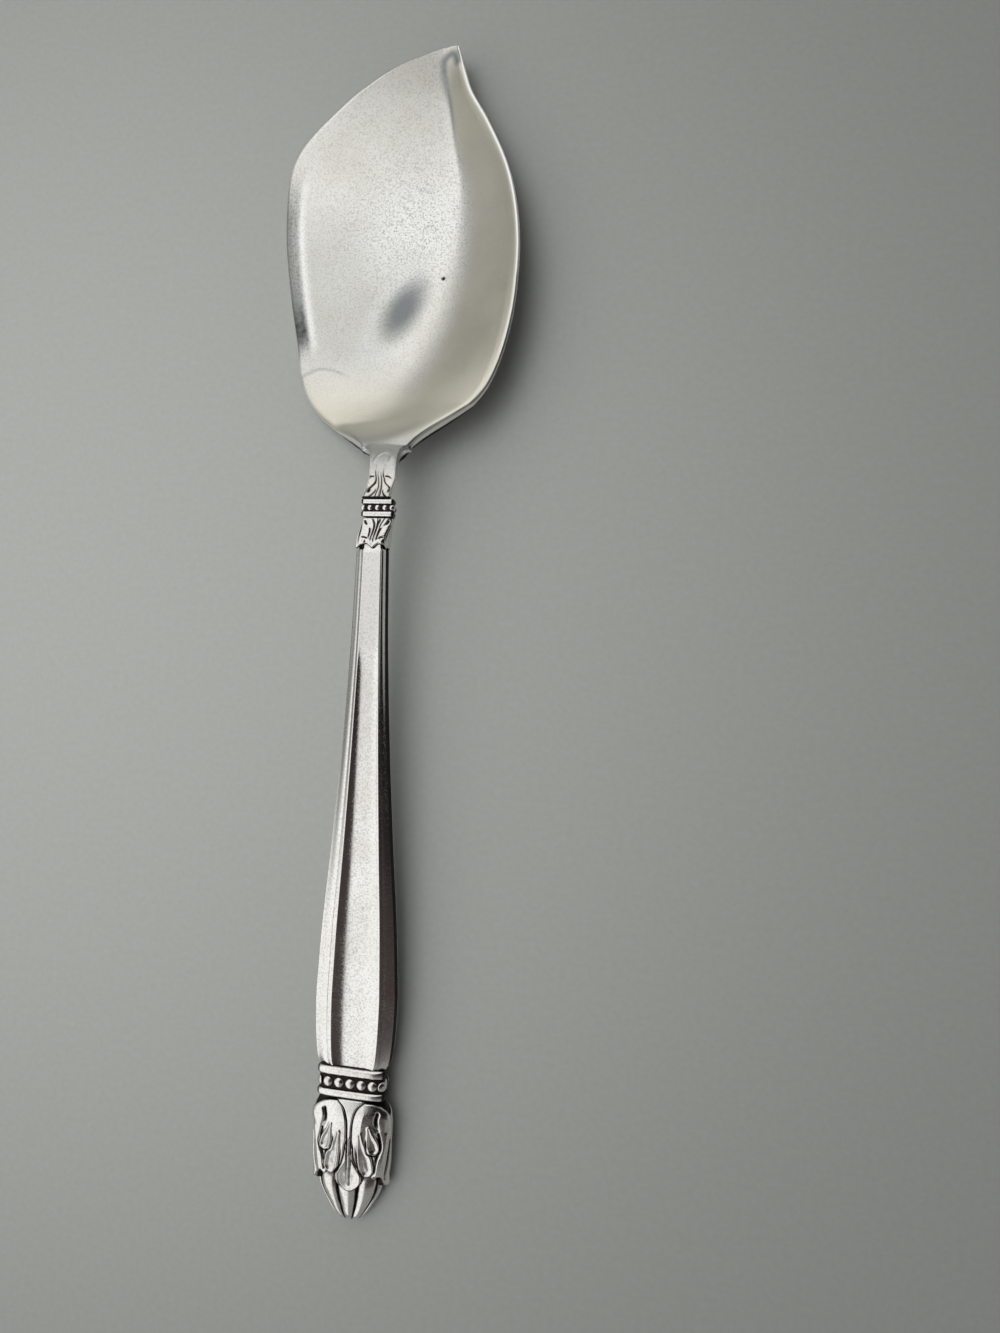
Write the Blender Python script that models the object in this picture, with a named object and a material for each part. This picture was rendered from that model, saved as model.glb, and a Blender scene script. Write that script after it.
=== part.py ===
"""A hollow-handled jelly server, laid on a table with its bowl facing up.

Lengths are in millimetres and become metres as each mesh is made. While the pieces are drawn, Y = 0 is the
joint between the neck's rings and the ferrule, +Y runs to the bowl's tip, X = 0 is the handle's middle and
Z = 0 is the table. The handle's own pieces are drawn on a level axis and hang on an empty that pitches them.
"""

import math

import bmesh
import bpy
import numpy as np

MM = 0.001

# Bowl: a flat-floored scoop, its left lip rolled down and its right side and heel drawn up into a wall
bowl_length = 58.7
bowl_left_reach = 20.1
bowl_right_reach = 16.9
bowl_wall = 1.0
bowl_rim_thickness = 0.7
right_rim_height = 8.6
tip_height = 4.2
tip_reach = 5.5
tip_blunt = 0.6
tip_rim_rise = 0.2
heel_height = 7.6
knee_height = 1.15
knee_inset = 2.0
knee_bend = 0.6
floor_height = -0.2
lip_drop = 0.8

# Neck and tang
joint_height = 10.4
neck_length = 7.4
neck_width = 2.9
neck_thickness = 2.6
neck_veer = 0.95
neck_straight_share = 0.05
neck_early_fall = 0.34
tang_length = 22.0
tang_width = 1.8
tang_thickness = 0.9

# Neck rings
neck_ring_width = 3.75
neck_ring_depth = 3.1
neck_upper_ring_length = 0.75
neck_bead_ring_length = 1.2
neck_lower_ring_length = 0.65
ring_squareness = 3.6
ring_round_share = 0.3
bead_width_share = 0.80
neck_bead_count = 14

# Leaf ferrule
ferrule_body_length = 2.4
ferrule_leaf_length = 1.3
ferrule_skirt_wall = 0.26
ferrule_inset = 0.12
collar_squareness = 2.8
seat_squareness = 4.0

# Handle shells
handle_length = 68.85
handle_neck_width = 3.95
handle_neck_depth = 2.9
handle_width = 10.95
handle_depth = 3.2
handle_end_width = 9.2
handle_end_round = 9.3
handle_wall = 0.4
handle_seat_step = 0.25
panel_neck_share = 0.52
panel_end_share = 0.63
panel_dish = 0.14
edge_share = 0.5

# End rings
end_ring_width = 9.5
end_ring_depth = 3.7
end_upper_ring_length = 1.45
end_bead_ring_length = 1.95
end_lower_ring_length = 1.25
end_bead_count = 16

# Finial
calyx_length = 10.0
calyx_leaf_length = 1.7
calyx_width = 11.0
calyx_depth = 4.8
calyx_leaf_relief = 0.35
calyx_leaf_slope = 0.5
calyx_leaf_gap = 1.32
calyx_leaf_bow = 1.43
calyx_bow_place = 0.42
calyx_wall = 0.6
bud_seat_depth = 7.4
bud_stand_out = 6.0
bud_lobes = 10
bud_lobe_relief = 0.3
finial_squareness = 2.3
stem_length = 10.0
stem_width = 3.0
stem_thickness = 1.2

# Fits
solder_gap = 0.06
tang_clearance = 0.08
slot_squareness = 9
cement_gap = 0.1
cup_clearance = 0.1

# Lengthwise steps of each mesh
bowl_rows = 38
bowl_columns = 22
handle_rows = 22

# Shape laws of the bowl: the share of its length from heel to tip, then the share of the way that is meant.
# The edges go sideways from the tip's place to the bowl's full reach.
left_edge = ((0, 0.305), (0.06, 0.54), (0.127, 0.715), (0.18, 0.795), (0.30, 0.874), (0.46, 0.955),
             (0.62, 1.0), (0.73, 0.98), (0.80, 0.905), (0.88, 0.705), (0.93, 0.535), (0.983, 0.25), (1, 0.05))
right_edge = ((0, -0.26), (0.03, -0.08), (0.06, 0.22), (0.09, 0.47), (0.127, 0.655), (0.18, 0.80),
              (0.30, 0.958), (0.42, 1.0), (0.55, 0.94), (0.67, 0.775), (0.80, 0.455), (0.88, 0.215),
              (0.93, 0.118), (1, 0.0))
valley_line = ((0, 0.02), (0.13, 0.0), (0.25, 0.17), (0.40, 0.355), (0.55, 0.42), (0.69, 0.385),
               (0.79, 0.31), (0.96, 0.22), (1, 0.21))
valley_bend = ((0, 3.0), (0.30, 5.0), (0.55, 3.0), (0.75, 0.7), (1, 0.3))
heel_fall = ((0, 1.0), (0.03, 0.875), (0.08, 0.68), (0.16, 0.38), (0.23, 0.17), (0.30, 0.045), (0.38, 0.0))
heel_lag = 0.8
tip_lift = ((0.58, 0.0), (0.75, 0.16), (0.90, 0.55), (1, 1.0))
rim_rise = ((0, 0.0), (0.15, 0.75), (0.40, 1.0))
rim_fall = ((0.40, 0.0), (0.60, 0.27), (0.80, 0.645), (1, 1.0))
lip_roll = ((0.08, 0.0), (0.20, 1.0), (0.70, 1.0), (0.78, 0.75), (0.88, 0.0))

# Share of the way from the ferrule to the widest place, then the share of the growth in width
handle_flare = ((0, 0.0), (0.21, 0.10), (0.45, 0.32), (0.67, 0.60), (0.86, 0.87), (1, 1.0))

# Share of the handle's length, then the share of the panel's full dish
dish_growth = ((0, 0.1), (0.16, 0.35), (0.25, 0.8), (0.45, 1.0))

# Share of the way from the end band to the bud's tip, then the share of the finial's full depth and width
finial_depth_swell = ((0, 0.80), (0.14, 0.98), (0.40, 1.0), (0.65, 0.90), (0.78, 0.76), (0.90, 0.54),
                      (0.97, 0.32), (1, 0.16))
finial_width_swell = ((0, 0.90), (0.12, 1.0), (0.45, 1.0), (0.65, 0.94), (0.78, 0.80), (0.90, 0.55),
                      (0.97, 0.29), (1, 0.12))

# Places along the handle's axis
lower_ring_top = neck_lower_ring_length
bead_ring_top = lower_ring_top + neck_bead_ring_length
upper_ring_top = bead_ring_top + neck_upper_ring_length
heel_place = upper_ring_top + neck_length
shell_top = -ferrule_body_length
shell_end = shell_top - handle_length
widest_place = shell_end + handle_end_round
upper_band_end = shell_end - end_upper_ring_length
bead_band_end = upper_band_end - end_bead_ring_length
calyx_top = bead_band_end - end_lower_ring_length
calyx_end = calyx_top - calyx_length
bud_top = calyx_end + bud_seat_depth
bud_end = calyx_end - bud_stand_out


def flowing(points):
    """A smooth curve through the points that never swings past them (monotone cubic)."""
    x, y = np.array(points, float).T
    step = np.diff(x)
    slope = np.diff(y) / step
    tangent = np.concatenate(([slope[0]], (slope[1:] + slope[:-1]) / 2, [slope[-1]]))
    turning = slope[1:] * slope[:-1] <= 0
    tangent[1:-1][turning] = 0
    for i, rise in enumerate(slope):
        limit = 3 * abs(rise)
        tangent[i] = np.clip(tangent[i], -limit, limit)
        tangent[i + 1] = np.clip(tangent[i + 1], -limit, limit)

    def value(at):
        at = np.clip(at, x[0], x[-1])
        i = np.clip(np.searchsorted(x, at) - 1, 0, len(step) - 1)
        t = (at - x[i]) / step[i]
        start = (1 + 2 * t) * (1 - t) ** 2 * y[i] + t * (1 - t) ** 2 * step[i] * tangent[i]
        finish = t * t * (3 - 2 * t) * y[i + 1] + t * t * (t - 1) * step[i] * tangent[i + 1]
        return start + finish

    return value


def make_material(name, colour, roughness, metallic):
    material = bpy.data.materials.new(name)
    material.use_nodes = True
    shader = material.node_tree.nodes["Principled BSDF"]
    shader.inputs["Base Color"].default_value = (*colour, 1)
    shader.inputs["Roughness"].default_value = roughness
    shader.inputs["Metallic"].default_value = metallic
    return material


def make_object(name, points, faces, parent, finish):
    """One closed mesh from points in millimetres, turned to face outwards."""
    mesh = bpy.data.meshes.new(name)
    mesh.from_pydata([tuple(c * MM for c in point) for point in points], [], faces)
    shape = bmesh.new()
    shape.from_mesh(mesh)
    bmesh.ops.recalc_face_normals(shape, faces=shape.faces)
    shape.to_mesh(mesh)
    shape.free()
    mesh.materials.append(make_material(f"{name} {finish[0]}", *finish[1:]))
    piece = bpy.data.objects.new(name, mesh)
    bpy.context.collection.objects.link(piece)
    piece.parent = parent
    return piece


def band_faces(start, count, rows, closed_rows=False):
    """Quads between neighbouring loops of points, and from the last loop to the first if asked."""
    faces = []
    for row in range(rows if closed_rows else rows - 1):
        a = start + row * count
        b = start + (row + 1) % rows * count
        for i in range(count):
            j = (i + 1) % count
            faces.append((a + i, a + j, b + j, b + i))
    return faces


def sleeve(name, loops, parent, finish):
    """A ring-shaped solid: loops run down its outside, then back up its bore."""
    points = [point for loop in loops for point in loop]
    faces = band_faces(0, len(loops[0]), len(loops), closed_rows=True)
    return make_object(name, points, faces, parent, finish)


def plug(name, loops, parent, finish):
    """A solid drawn through loops, with both ends closed onto a middle point."""
    count = len(loops[0])
    points = [point for loop in loops for point in loop]
    faces = band_faces(0, count, len(loops))
    for start, loop in ((0, loops[0]), (count * (len(loops) - 1), loops[-1])):
        centre = len(points)
        points.append(tuple(np.mean(loop, axis=0)))
        faces += [(start + i, start + (i + 1) % count, centre) for i in range(count)]
    return make_object(name, points, faces, parent, finish)


def oval(width, depth, count, squareness=2.0):
    """Points evenly spaced round a rounded oblong, from its right side over the front."""
    angle = np.linspace(0, 2 * math.pi, 40 * count + 1)
    cosine, sine = np.cos(angle), np.sin(angle)
    x = width / 2 * np.sign(cosine) * np.abs(cosine) ** (2 / squareness)
    z = depth / 2 * np.sign(sine) * np.abs(sine) ** (2 / squareness)
    walked = np.concatenate(([0], np.cumsum(np.hypot(np.diff(x), np.diff(z)))))
    stops = np.arange(count) / count * walked[-1]
    return np.stack((np.interp(stops, walked, x), np.interp(stops, walked, z)), axis=1)


def at(outline, y):
    """Stands a flat outline up at a place on the axis, or at one place for each of its points."""
    places = np.broadcast_to(y, len(outline))
    return [(x, place, z) for (x, z), place in zip(outline, places)]


def grown(outline, by):
    """The outline moved outwards by a distance, or by one distance for each of its points."""
    ahead = np.roll(outline, -1, axis=0) - np.roll(outline, 1, axis=0)
    outward = np.stack((ahead[:, 1], -ahead[:, 0]), axis=1)
    outward /= np.linalg.norm(outward, axis=1, keepdims=True)
    return outline + outward * np.broadcast_to(by, len(outline))[:, None]


# Handle axis

def finial_half_depth(y):
    """Half the finial's depth along its length, from the end band to the bud's tip."""
    return calyx_depth / 2 * flowing(finial_depth_swell)((calyx_top - y) / (calyx_top - bud_end))


def finial_half_width(y):
    return calyx_width / 2 * flowing(finial_width_swell)((calyx_top - y) / (calyx_top - bud_end))


def resting_pitch():
    """The pitch at which the finial's underside just comes down to the table."""
    pitches = []
    for y in np.linspace(calyx_top, bud_end, 60):
        depth = finial_half_depth(y)
        pitches.append(math.asin(joint_height / math.hypot(y, depth)) - math.atan2(depth, -y))
    return min(pitches)


pitch = resting_pitch()


# Bowl, neck and tang

def ramp(distance, full, bend):
    """Rises from 0 to 1 over the full distance, from a flat with a rounded bend at its foot."""
    def foot(u):
        return (np.sqrt(u ** 2 + bend ** 2) + u) / 2
    return (foot(distance) - foot(-full)) / (foot(full) - foot(-full))


def bowl_edges(share):
    """X of the left edge, the knee where the lip turns down, the valley and the right edge."""
    left = tip_reach - tip_blunt / 2
    left -= (bowl_left_reach + left) * flowing(left_edge)(share)
    right = tip_reach + tip_blunt / 2
    right += (bowl_right_reach - right) * flowing(right_edge)(share)
    width = right - left
    valley = bowl_right_reach * flowing(valley_line)(share)
    valley = min(max(valley, left + 0.35 * width), right - 0.12 * width)
    knee = left + min(knee_inset, 0.5 * (valley - left))
    return left, knee, valley, right


def bowl_row(share, across):
    """Middle line of the sheet from the left edge to the right edge."""
    left, knee, valley, right = bowl_edges(share)
    x = left + across * (right - left)
    heel = flowing(heel_fall)(share * (1 + heel_lag * (1 - across)))
    tip = flowing(tip_lift)(share)
    floor = floor_height + (heel_height - floor_height) * heel + (tip_height - floor_height) * tip
    rim = heel_height + (right_rim_height - heel_height) * flowing(rim_rise)(share)
    rim -= (right_rim_height - tip_height - tip_rim_rise) * flowing(rim_fall)(share)
    bend = flowing(valley_bend)(share)
    z = floor + (rim - floor[-1]) * ramp(x - valley, right - valley, bend)
    z += (knee_height - floor_height) * (1 - heel) * (1 - tip) * ramp(valley - x, valley - knee, bend)
    z -= lip_drop * flowing(lip_roll)(share) * ramp(knee - x, knee - left, knee_bend)
    return np.stack((x, np.full_like(x, heel_place + share * bowl_length), z), axis=1)


def on_axis(distance, lift=0.0):
    """Y and Z of a place along the handle's pitched axis, lifted square to it."""
    y = distance * math.cos(pitch) - lift * math.sin(pitch)
    return y, joint_height + distance * math.sin(pitch) + lift * math.cos(pitch)


def neck_rows(across):
    """Middle line of the neck, which leaves the handle's axis at the rings and falls away into the heel."""
    heel = bowl_row(0, across)
    rows = []
    for share in (0.0, 0.4 * neck_straight_share, neck_straight_share, 0.3, 0.55, 0.8):
        y, axis = on_axis(upper_ring_top + solder_gap + share * (neck_length - solder_gap))
        width = neck_width + (heel[-1, 0] - heel[0, 0] - neck_width) * share ** 5
        centre = neck_veer * (0.4 + 0.6 * min(1, share / 0.3)) * (1 - share ** 2)
        bent = max(0, share - neck_straight_share) / (1 - neck_straight_share)
        fall = (axis - heel[:, 2]) * (neck_early_fall * bent + (1 - neck_early_fall) * bent ** 2)
        rows.append(np.stack((centre + (across - 0.5) * width, np.full_like(across, y), axis - fall), axis=1))
    return rows


def sheet_thickness(place, across):
    """Full thickness over one row: a crowned bar in the neck, a sheet with a thinner rim in the bowl."""
    crown = np.sqrt(np.clip(1 - (2 * across - 1) ** 2, 0, 1))
    bar = 0.4 * neck_thickness + 0.6 * neck_thickness * crown
    sheet = bowl_rim_thickness + (bowl_wall - bowl_rim_thickness) * np.minimum(1, 3 * crown)
    blend = flowing(((heel_place - 0.35 * neck_length, 0), (heel_place + 0.10 * bowl_length, 1)))(place)
    return bar + (sheet - bar) * blend


def make_bowl(parent, finish):
    across = 0.5 - 0.5 * np.cos(np.linspace(0, math.pi, bowl_columns + 1))
    across = 0.6 * across + 0.4 * np.linspace(0, 1, bowl_columns + 1)
    shares = np.linspace(0, 1, bowl_rows)
    shares = shares - 0.12 * np.sin(2 * math.pi * shares) / math.pi
    middle = np.array(neck_rows(across) + [bowl_row(share, across) for share in shares])
    along_step = np.gradient(middle, axis=0)
    across_step = np.gradient(middle, axis=1)
    normal = np.cross(across_step, along_step)
    normal /= np.linalg.norm(normal, axis=2, keepdims=True)
    half = np.array([sheet_thickness(row[0][1], across) / 2 for row in middle])[:, :, None]
    top = middle + normal * half
    bottom = middle - normal * half
    bottom[:, :, 2] = np.maximum(bottom[:, :, 2], 0)

    tang = tang_rows(across)
    loops = [np.concatenate((up, down[::-1])) for up, down in tang]
    loops += [np.concatenate((up, down[::-1])) for up, down in zip(top, bottom)]
    count = len(loops[0])
    points = [tuple(point) for loop in loops for point in loop]
    faces = band_faces(0, count, len(loops))
    for start in (0, count * (len(loops) - 1)):
        for i in range(bowl_columns):
            far = count - 1 - i
            faces.append((start + i, start + i + 1, start + far - 1, start + far))
    return make_object("bowl", points, faces, parent, finish)


def tang_rows(across):
    """Top and bottom lines of the flat tang, square to the handle's axis, from its end to the neck."""
    rows = []
    for y in (-tang_length, upper_ring_top + solder_gap):
        lines = []
        for side in (1, -1):
            place = on_axis(y, side * tang_thickness / 2)
            lines.append(np.array([((t - 0.5) * tang_width, *place) for t in across]))
        rows.append(lines)
    return rows


# Rings

def slot(width, thickness, clearance, count):
    return oval(width + 2 * clearance, thickness + 2 * clearance, count, slot_squareness)


def make_plain_ring(name, top, length, width, depth, bore, parent, finish):
    """A ring with a rounded face over a flat bore."""
    count = 48
    rim = oval(width, depth, count, ring_squareness)
    bottom = top - length + solder_gap
    round_off = ring_round_share * length
    loops = [at(grown(rim, -0.6 * round_off), top), at(rim, top - 0.7 * round_off)]
    loops += [at(rim, bottom + 0.7 * round_off), at(grown(rim, -0.6 * round_off), bottom)]
    hole = slot(*bore, tang_clearance, count)
    loops += [at(hole, bottom), at(hole, top)]
    return sleeve(name, loops, parent, finish)


def make_bead_ring(name, top, length, width, depth, beads, bore, parent, finish):
    """A band sunk below its neighbours, with a row of half-round beads round it."""
    points_per_bead = 6
    count = beads * points_per_bead
    bottom = top - length + solder_gap
    middle = (top + bottom) / 2
    rim = oval(width, depth, count, ring_squareness)
    pitch_length = np.linalg.norm(rim - np.roll(rim, 1, axis=0), axis=1).sum() / beads
    bead_radius = min(bead_width_share * pitch_length / 2, 0.46 * (top - bottom))
    band = grown(rim, -bead_radius)
    along = (np.arange(count) % points_per_bead / points_per_bead - 0.5) * pitch_length
    loops = [at(band, top)]
    for across in np.linspace(0.96, -0.96, 5) * bead_radius:
        rise = np.sqrt(np.clip(bead_radius ** 2 - across ** 2 - along ** 2, 0, None))
        loops.append(at(grown(band, rise), middle + across))
    loops.append(at(band, bottom))
    hole = slot(*bore, tang_clearance, count)
    loops += [at(hole, bottom), at(hole, top)]
    return sleeve(name, loops, parent, finish)


# Handle

def handle_half_width(y):
    if y < widest_place:
        drop = 1 - math.sqrt(max(0, 1 - ((widest_place - y) / handle_end_round) ** 2))
        return (handle_width - (handle_width - handle_end_width) * drop) / 2
    growth = flowing(handle_flare)((shell_top - y) / (shell_top - widest_place))
    return (handle_neck_width + (handle_width - handle_neck_width) * growth) / 2


def handle_half_depth(y):
    share = (shell_top - y) / handle_length
    return (handle_neck_depth + (handle_depth - handle_neck_depth) * share) / 2


def shell_outline(y, dished):
    """Outside of one handle half from its left seam over the panel to its right seam, as (x, z)."""
    seated = y > shell_top - ferrule_leaf_length - solder_gap
    step = handle_seat_step if seated else 0
    half_width = handle_half_width(y) - step
    crest = handle_half_depth(y) - step
    share = (shell_top - y) / handle_length
    panel = (panel_neck_share + (panel_end_share - panel_neck_share) * share) * half_width
    dish = panel_dish * panel * dished * flowing(dish_growth)(share)
    edge = edge_share * crest
    right = [(half_width, solder_gap / 2), (half_width, 0.6 * edge), (0.97 * half_width, edge)]
    right += [(panel + 0.06 * half_width, crest - 0.02 * half_width), (panel, crest)]
    inside = [(panel * t, crest - dish * (1 - t ** 4)) for t in (0.9, 0.75, 0.5, 0.2)]
    right += inside
    return [(-x, z) for x, z in right] + [(x, z) for x, z in reversed(right)]


def shell_lining(y, gap=0.0):
    """Inside of one handle half, as (x, z); the cement keeps the gap off it."""
    outline = shell_outline(y, 1)
    wall = handle_wall + gap
    half_width = outline[-1][0] - wall
    floor = outline[len(outline) // 2][1] - wall
    corner = min(0.6 * outline[-3][1], 0.75 * floor)
    shoulder = panel_neck_share * half_width
    right = [(half_width, solder_gap / 2 + gap), (half_width, corner), (shoulder, floor)]
    right.append((0.3 * shoulder, floor))
    return [(-x, z) for x, z in right] + [(x, z) for x, z in reversed(right)]


def shell_places():
    seat_end = shell_top - ferrule_leaf_length
    upper = [shell_top, seat_end, seat_end - 2 * solder_gap]
    share = np.linspace(0, 1, handle_rows)
    share = share + 0.06 * np.sin(2 * math.pi * share)
    lower = upper[-1] + (shell_end - upper[-1]) * share[1:]
    return upper + list(lower)


def make_shell(name, side, dished, parent, finish):
    """One stamped half of the handle: the front one is dished, the back one is plain."""
    loops = []
    for y in shell_places():
        section = shell_outline(y, dished) + shell_lining(y)[::-1]
        loops.append([(x, y, side * z) for x, z in section])
    count = len(loops[0])
    points = [point for loop in loops for point in loop]
    faces = band_faces(0, count, len(loops))
    outer, inner = len(shell_outline(shell_top, dished)), len(shell_lining(shell_top))
    for start in (0, count * (len(loops) - 1)):
        faces.append(tuple(range(start, start + outer + inner)))
    return make_object(name, points, faces, parent, finish)


def make_filler(parent, finish):
    """Cement over the whole hollow, with a pocket for the tang at one end and for the stem at the other."""
    top, bottom = shell_top - solder_gap, shell_end + solder_gap
    places = [y for y in shell_places() if bottom < y < top]
    loops = []
    for y in [top] + places + [bottom]:
        upper = shell_lining(y, cement_gap)
        lower = [(x, -z) for x, z in reversed(upper)]
        loops.append([(x, y, z) for x, z in upper + lower])
    count = len(loops[0])
    tang_pocket = slot_like(loops[0], tang_width, tang_thickness)
    stem_pocket = slot_like(loops[0], stem_width, stem_thickness)
    tang_floor = -tang_length - tang_clearance
    stem_floor = shell_end + stem_length - (shell_end - bud_top) + tang_clearance
    inside = [at(tang_pocket, tang_floor), at(tang_pocket, top)]
    under = [at(stem_pocket, bottom), at(stem_pocket, stem_floor)]
    return plug("handle_filler", inside + loops + under, parent, finish)


def slot_like(loop, width, thickness):
    """A slot with one point for each point of the loop, in the same order round it."""
    half_width, half_depth = width / 2 + tang_clearance, thickness / 2 + tang_clearance
    widest = max(abs(x) for x, y, z in loop)
    outline = []
    for x, y, z in loop:
        outline.append((half_width * x / widest, half_depth * math.copysign(1, z)))
    return np.array(outline)


# Ferrule

def skirt_oval(y, gap, count):
    """Oval over the handle's seat at one place, standing off by a gap."""
    width = 2 * (handle_half_width(y) - handle_seat_step + gap)
    depth = 2 * (handle_half_depth(y) - handle_seat_step + gap)
    return oval(width, depth, count, seat_squareness)


def make_ferrule(parent, finish):
    """A collar on the tang whose leaf-pointed skirt laps over the handle's top."""
    count = 72
    angle = np.arange(count) / count * 2 * math.pi
    points_down = 1 - np.abs(np.sin(2 * angle)) ** 0.8
    leaf_edge = shell_top - ferrule_leaf_length * (0.35 + 0.65 * points_down)
    top = -solder_gap
    skirt_gap = solder_gap + ferrule_skirt_wall
    collar_width, collar_depth = neck_ring_width - 2 * ferrule_inset, neck_ring_depth - 2 * ferrule_inset
    collar = oval(collar_width, collar_depth, count, collar_squareness)
    waist = grown(collar, 0.6 * ferrule_inset)
    seat = skirt_oval(shell_top, skirt_gap, count)
    hem = skirt_oval(shell_top - ferrule_leaf_length, skirt_gap, count)
    loops = [at(collar, top), at(waist, 0.45 * shell_top), at(seat, shell_top)]
    loops += [at(hem, leaf_edge)]
    loops += [at(skirt_oval(shell_top - ferrule_leaf_length, solder_gap, count), leaf_edge)]
    loops += [at(skirt_oval(shell_top, solder_gap, count), shell_top + solder_gap)]
    hole = slot(tang_width, tang_thickness, tang_clearance, count)
    loops += [at(hole, shell_top + solder_gap), at(hole, top)]
    return sleeve("leaf_ferrule", loops, parent, finish)


# Finial

def finial_oval(y, count, off=0.0):
    """The finial's outline at a place, or with a place for each point, moved outwards by a distance."""
    widest = oval(calyx_width, calyx_depth, count, finial_squareness)
    across = finial_half_width(y) / (calyx_width / 2)
    through = finial_half_depth(y) / (calyx_depth / 2)
    return grown(widest * np.stack((across, through), axis=-1), off)


def leaf_relief(outline, y):
    """How far the side leaves stand out at one place: their inner edges bow in towards the middle line."""
    middle = calyx_top - calyx_bow_place * calyx_length
    bow = (y - middle) / (0.5 * calyx_length)
    inner_edge = calyx_leaf_gap / 2 + calyx_leaf_bow * bow ** 2
    reach = (np.abs(outline[:, 0]) - inner_edge) / calyx_leaf_slope
    return calyx_leaf_relief * np.clip(reach, -1, 0)


def make_calyx(parent, finish):
    """A cup of leaves over the bud: two broad side leaves, and a tongue between them at front and back."""
    count = 72
    angle = np.arange(count) / count * 2 * math.pi
    lobes = np.abs(np.cos(2 * angle)) ** 0.7
    leaf_edge = calyx_end - calyx_leaf_length * (lobes - 1)
    top = calyx_top - solder_gap
    loops = []
    for share in (0, 0.06, 0.16, 0.28, 0.42, 0.56, 0.70, 0.84, 1.0):
        y = top + (calyx_end - top) * share + share ** 2 * (leaf_edge - calyx_end)
        outline = finial_oval(y, count)
        loops.append(at(grown(outline, leaf_relief(outline, y)), y))
    cup_floor = bud_top + solder_gap
    for share in (1.0, 0.7, 0.4, 0.0):
        y = cup_floor + (calyx_end - cup_floor) * share + share ** 2 * (leaf_edge - calyx_end)
        loops.append(at(finial_oval(y, count, -calyx_wall - calyx_leaf_relief), y))
    hole = slot(stem_width, stem_thickness, tang_clearance, count)
    loops += [at(hole, cup_floor), at(hole, top)]
    return sleeve("finial_calyx", loops, parent, finish)


def make_bud(parent, finish):
    """A flattened bud with rounded lobes, on the stem that holds the whole end together."""
    points_per_lobe = 6
    count = bud_lobes * points_per_lobe
    turn = np.arange(count) / count * 2 * math.pi
    lobe = np.abs(np.sin(bud_lobes / 2 * turn)) ** 0.6
    stem = slot(stem_width, stem_thickness, 0, count)
    loops = [at(stem, bud_top + stem_length), at(stem, bud_top)]
    in_cup = calyx_wall + calyx_leaf_relief + cup_clearance
    for share in (0, 0.33, 0.67):
        y = bud_top + (calyx_end - bud_top) * share
        loops.append(at(grown(finial_oval(y, count, -in_cup), bud_lobe_relief * (lobe - 1)), y))
    for share in (0, 0.2, 0.4, 0.58, 0.74, 0.87, 0.96, 1.0):
        y = calyx_end + (bud_end - calyx_end) * share
        swell = finial_oval(y, count, -in_cup * max(0, 1 - 3 * share))
        depth = bud_lobe_relief * min(1, 4 * (1 - share) + 0.2)
        loops.append(at(grown(swell, depth * (lobe - 1)), y))
    return plug("finial_bud", loops, parent, finish)


def clear_scene():
    for item in list(bpy.data.objects):
        bpy.data.objects.remove(item)


def make_empty(name, parent, location=(0, 0, 0), tilt=0.0):
    empty = bpy.data.objects.new(name, None)
    bpy.context.collection.objects.link(empty)
    empty.parent = parent
    empty.location = location
    empty.rotation_euler = (tilt, 0, 0)
    return empty


def settle_on_origin(root, pieces):
    """Slides the whole server so that the middle of its footprint is the origin."""
    bpy.context.view_layer.update()
    corners = np.array([piece.matrix_world @ vertex.co for piece in pieces for vertex in piece.data.vertices])
    low, high = corners.min(axis=0), corners.max(axis=0)
    root.location = (-(low[0] + high[0]) / 2, -(low[1] + high[1]) / 2, -low[2])
    bpy.context.view_layer.update()
    print("size in millimetres", np.round((high - low) / MM, 2))
    print("joint in millimetres", np.round(np.array(root.location) / MM, 3))


def build():
    clear_scene()
    worn_plate = ("worn plate", (0.72, 0.70, 0.66), 0.38, 1.0)
    bright_plate = ("bright plate", (0.80, 0.79, 0.77), 0.22, 1.0)
    dark_plate = ("darkened plate", (0.62, 0.60, 0.57), 0.30, 1.0)
    cement = ("cement", (0.32, 0.28, 0.22), 0.90, 0.0)
    root = make_empty("server", None)
    axis = make_empty("handle_axis", root, (0, 0, joint_height * MM), pitch)
    tang_bore = (tang_width, tang_thickness)
    stem_bore = (stem_width, stem_thickness)
    neck_size = (neck_ring_width, neck_ring_depth)
    end_size = (end_ring_width, end_ring_depth)
    pieces = [
        make_bowl(root, worn_plate),
        make_plain_ring("neck_upper_ring", upper_ring_top, neck_upper_ring_length, *neck_size, tang_bore,
                        axis, bright_plate),
        make_bead_ring("neck_bead_ring", bead_ring_top, neck_bead_ring_length, *neck_size, neck_bead_count,
                       tang_bore, axis, dark_plate),
        make_plain_ring("neck_lower_ring", lower_ring_top, neck_lower_ring_length, *neck_size, tang_bore,
                        axis, bright_plate),
        make_ferrule(axis, dark_plate),
        make_shell("handle_front_shell", 1, 1.0, axis, bright_plate),
        make_shell("handle_back_shell", -1, 0.25, axis, bright_plate),
        make_filler(axis, cement),
        make_plain_ring("end_upper_ring", shell_end - solder_gap, end_upper_ring_length, *end_size, stem_bore,
                        axis, bright_plate),
        make_bead_ring("end_bead_ring", upper_band_end - solder_gap, end_bead_ring_length, *end_size,
                       end_bead_count, stem_bore, axis, dark_plate),
        make_plain_ring("end_lower_ring", bead_band_end - solder_gap, end_lower_ring_length, *end_size,
                        stem_bore, axis, bright_plate),
        make_calyx(axis, dark_plate),
        make_bud(axis, dark_plate),
    ]
    settle_on_origin(root, pieces)


build()
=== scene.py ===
# Looks of a hollow-handled jelly server: fine meshes and worn silver-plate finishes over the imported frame.
import math

import bpy
import numpy as np
from mathutils import Matrix, Vector


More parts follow.
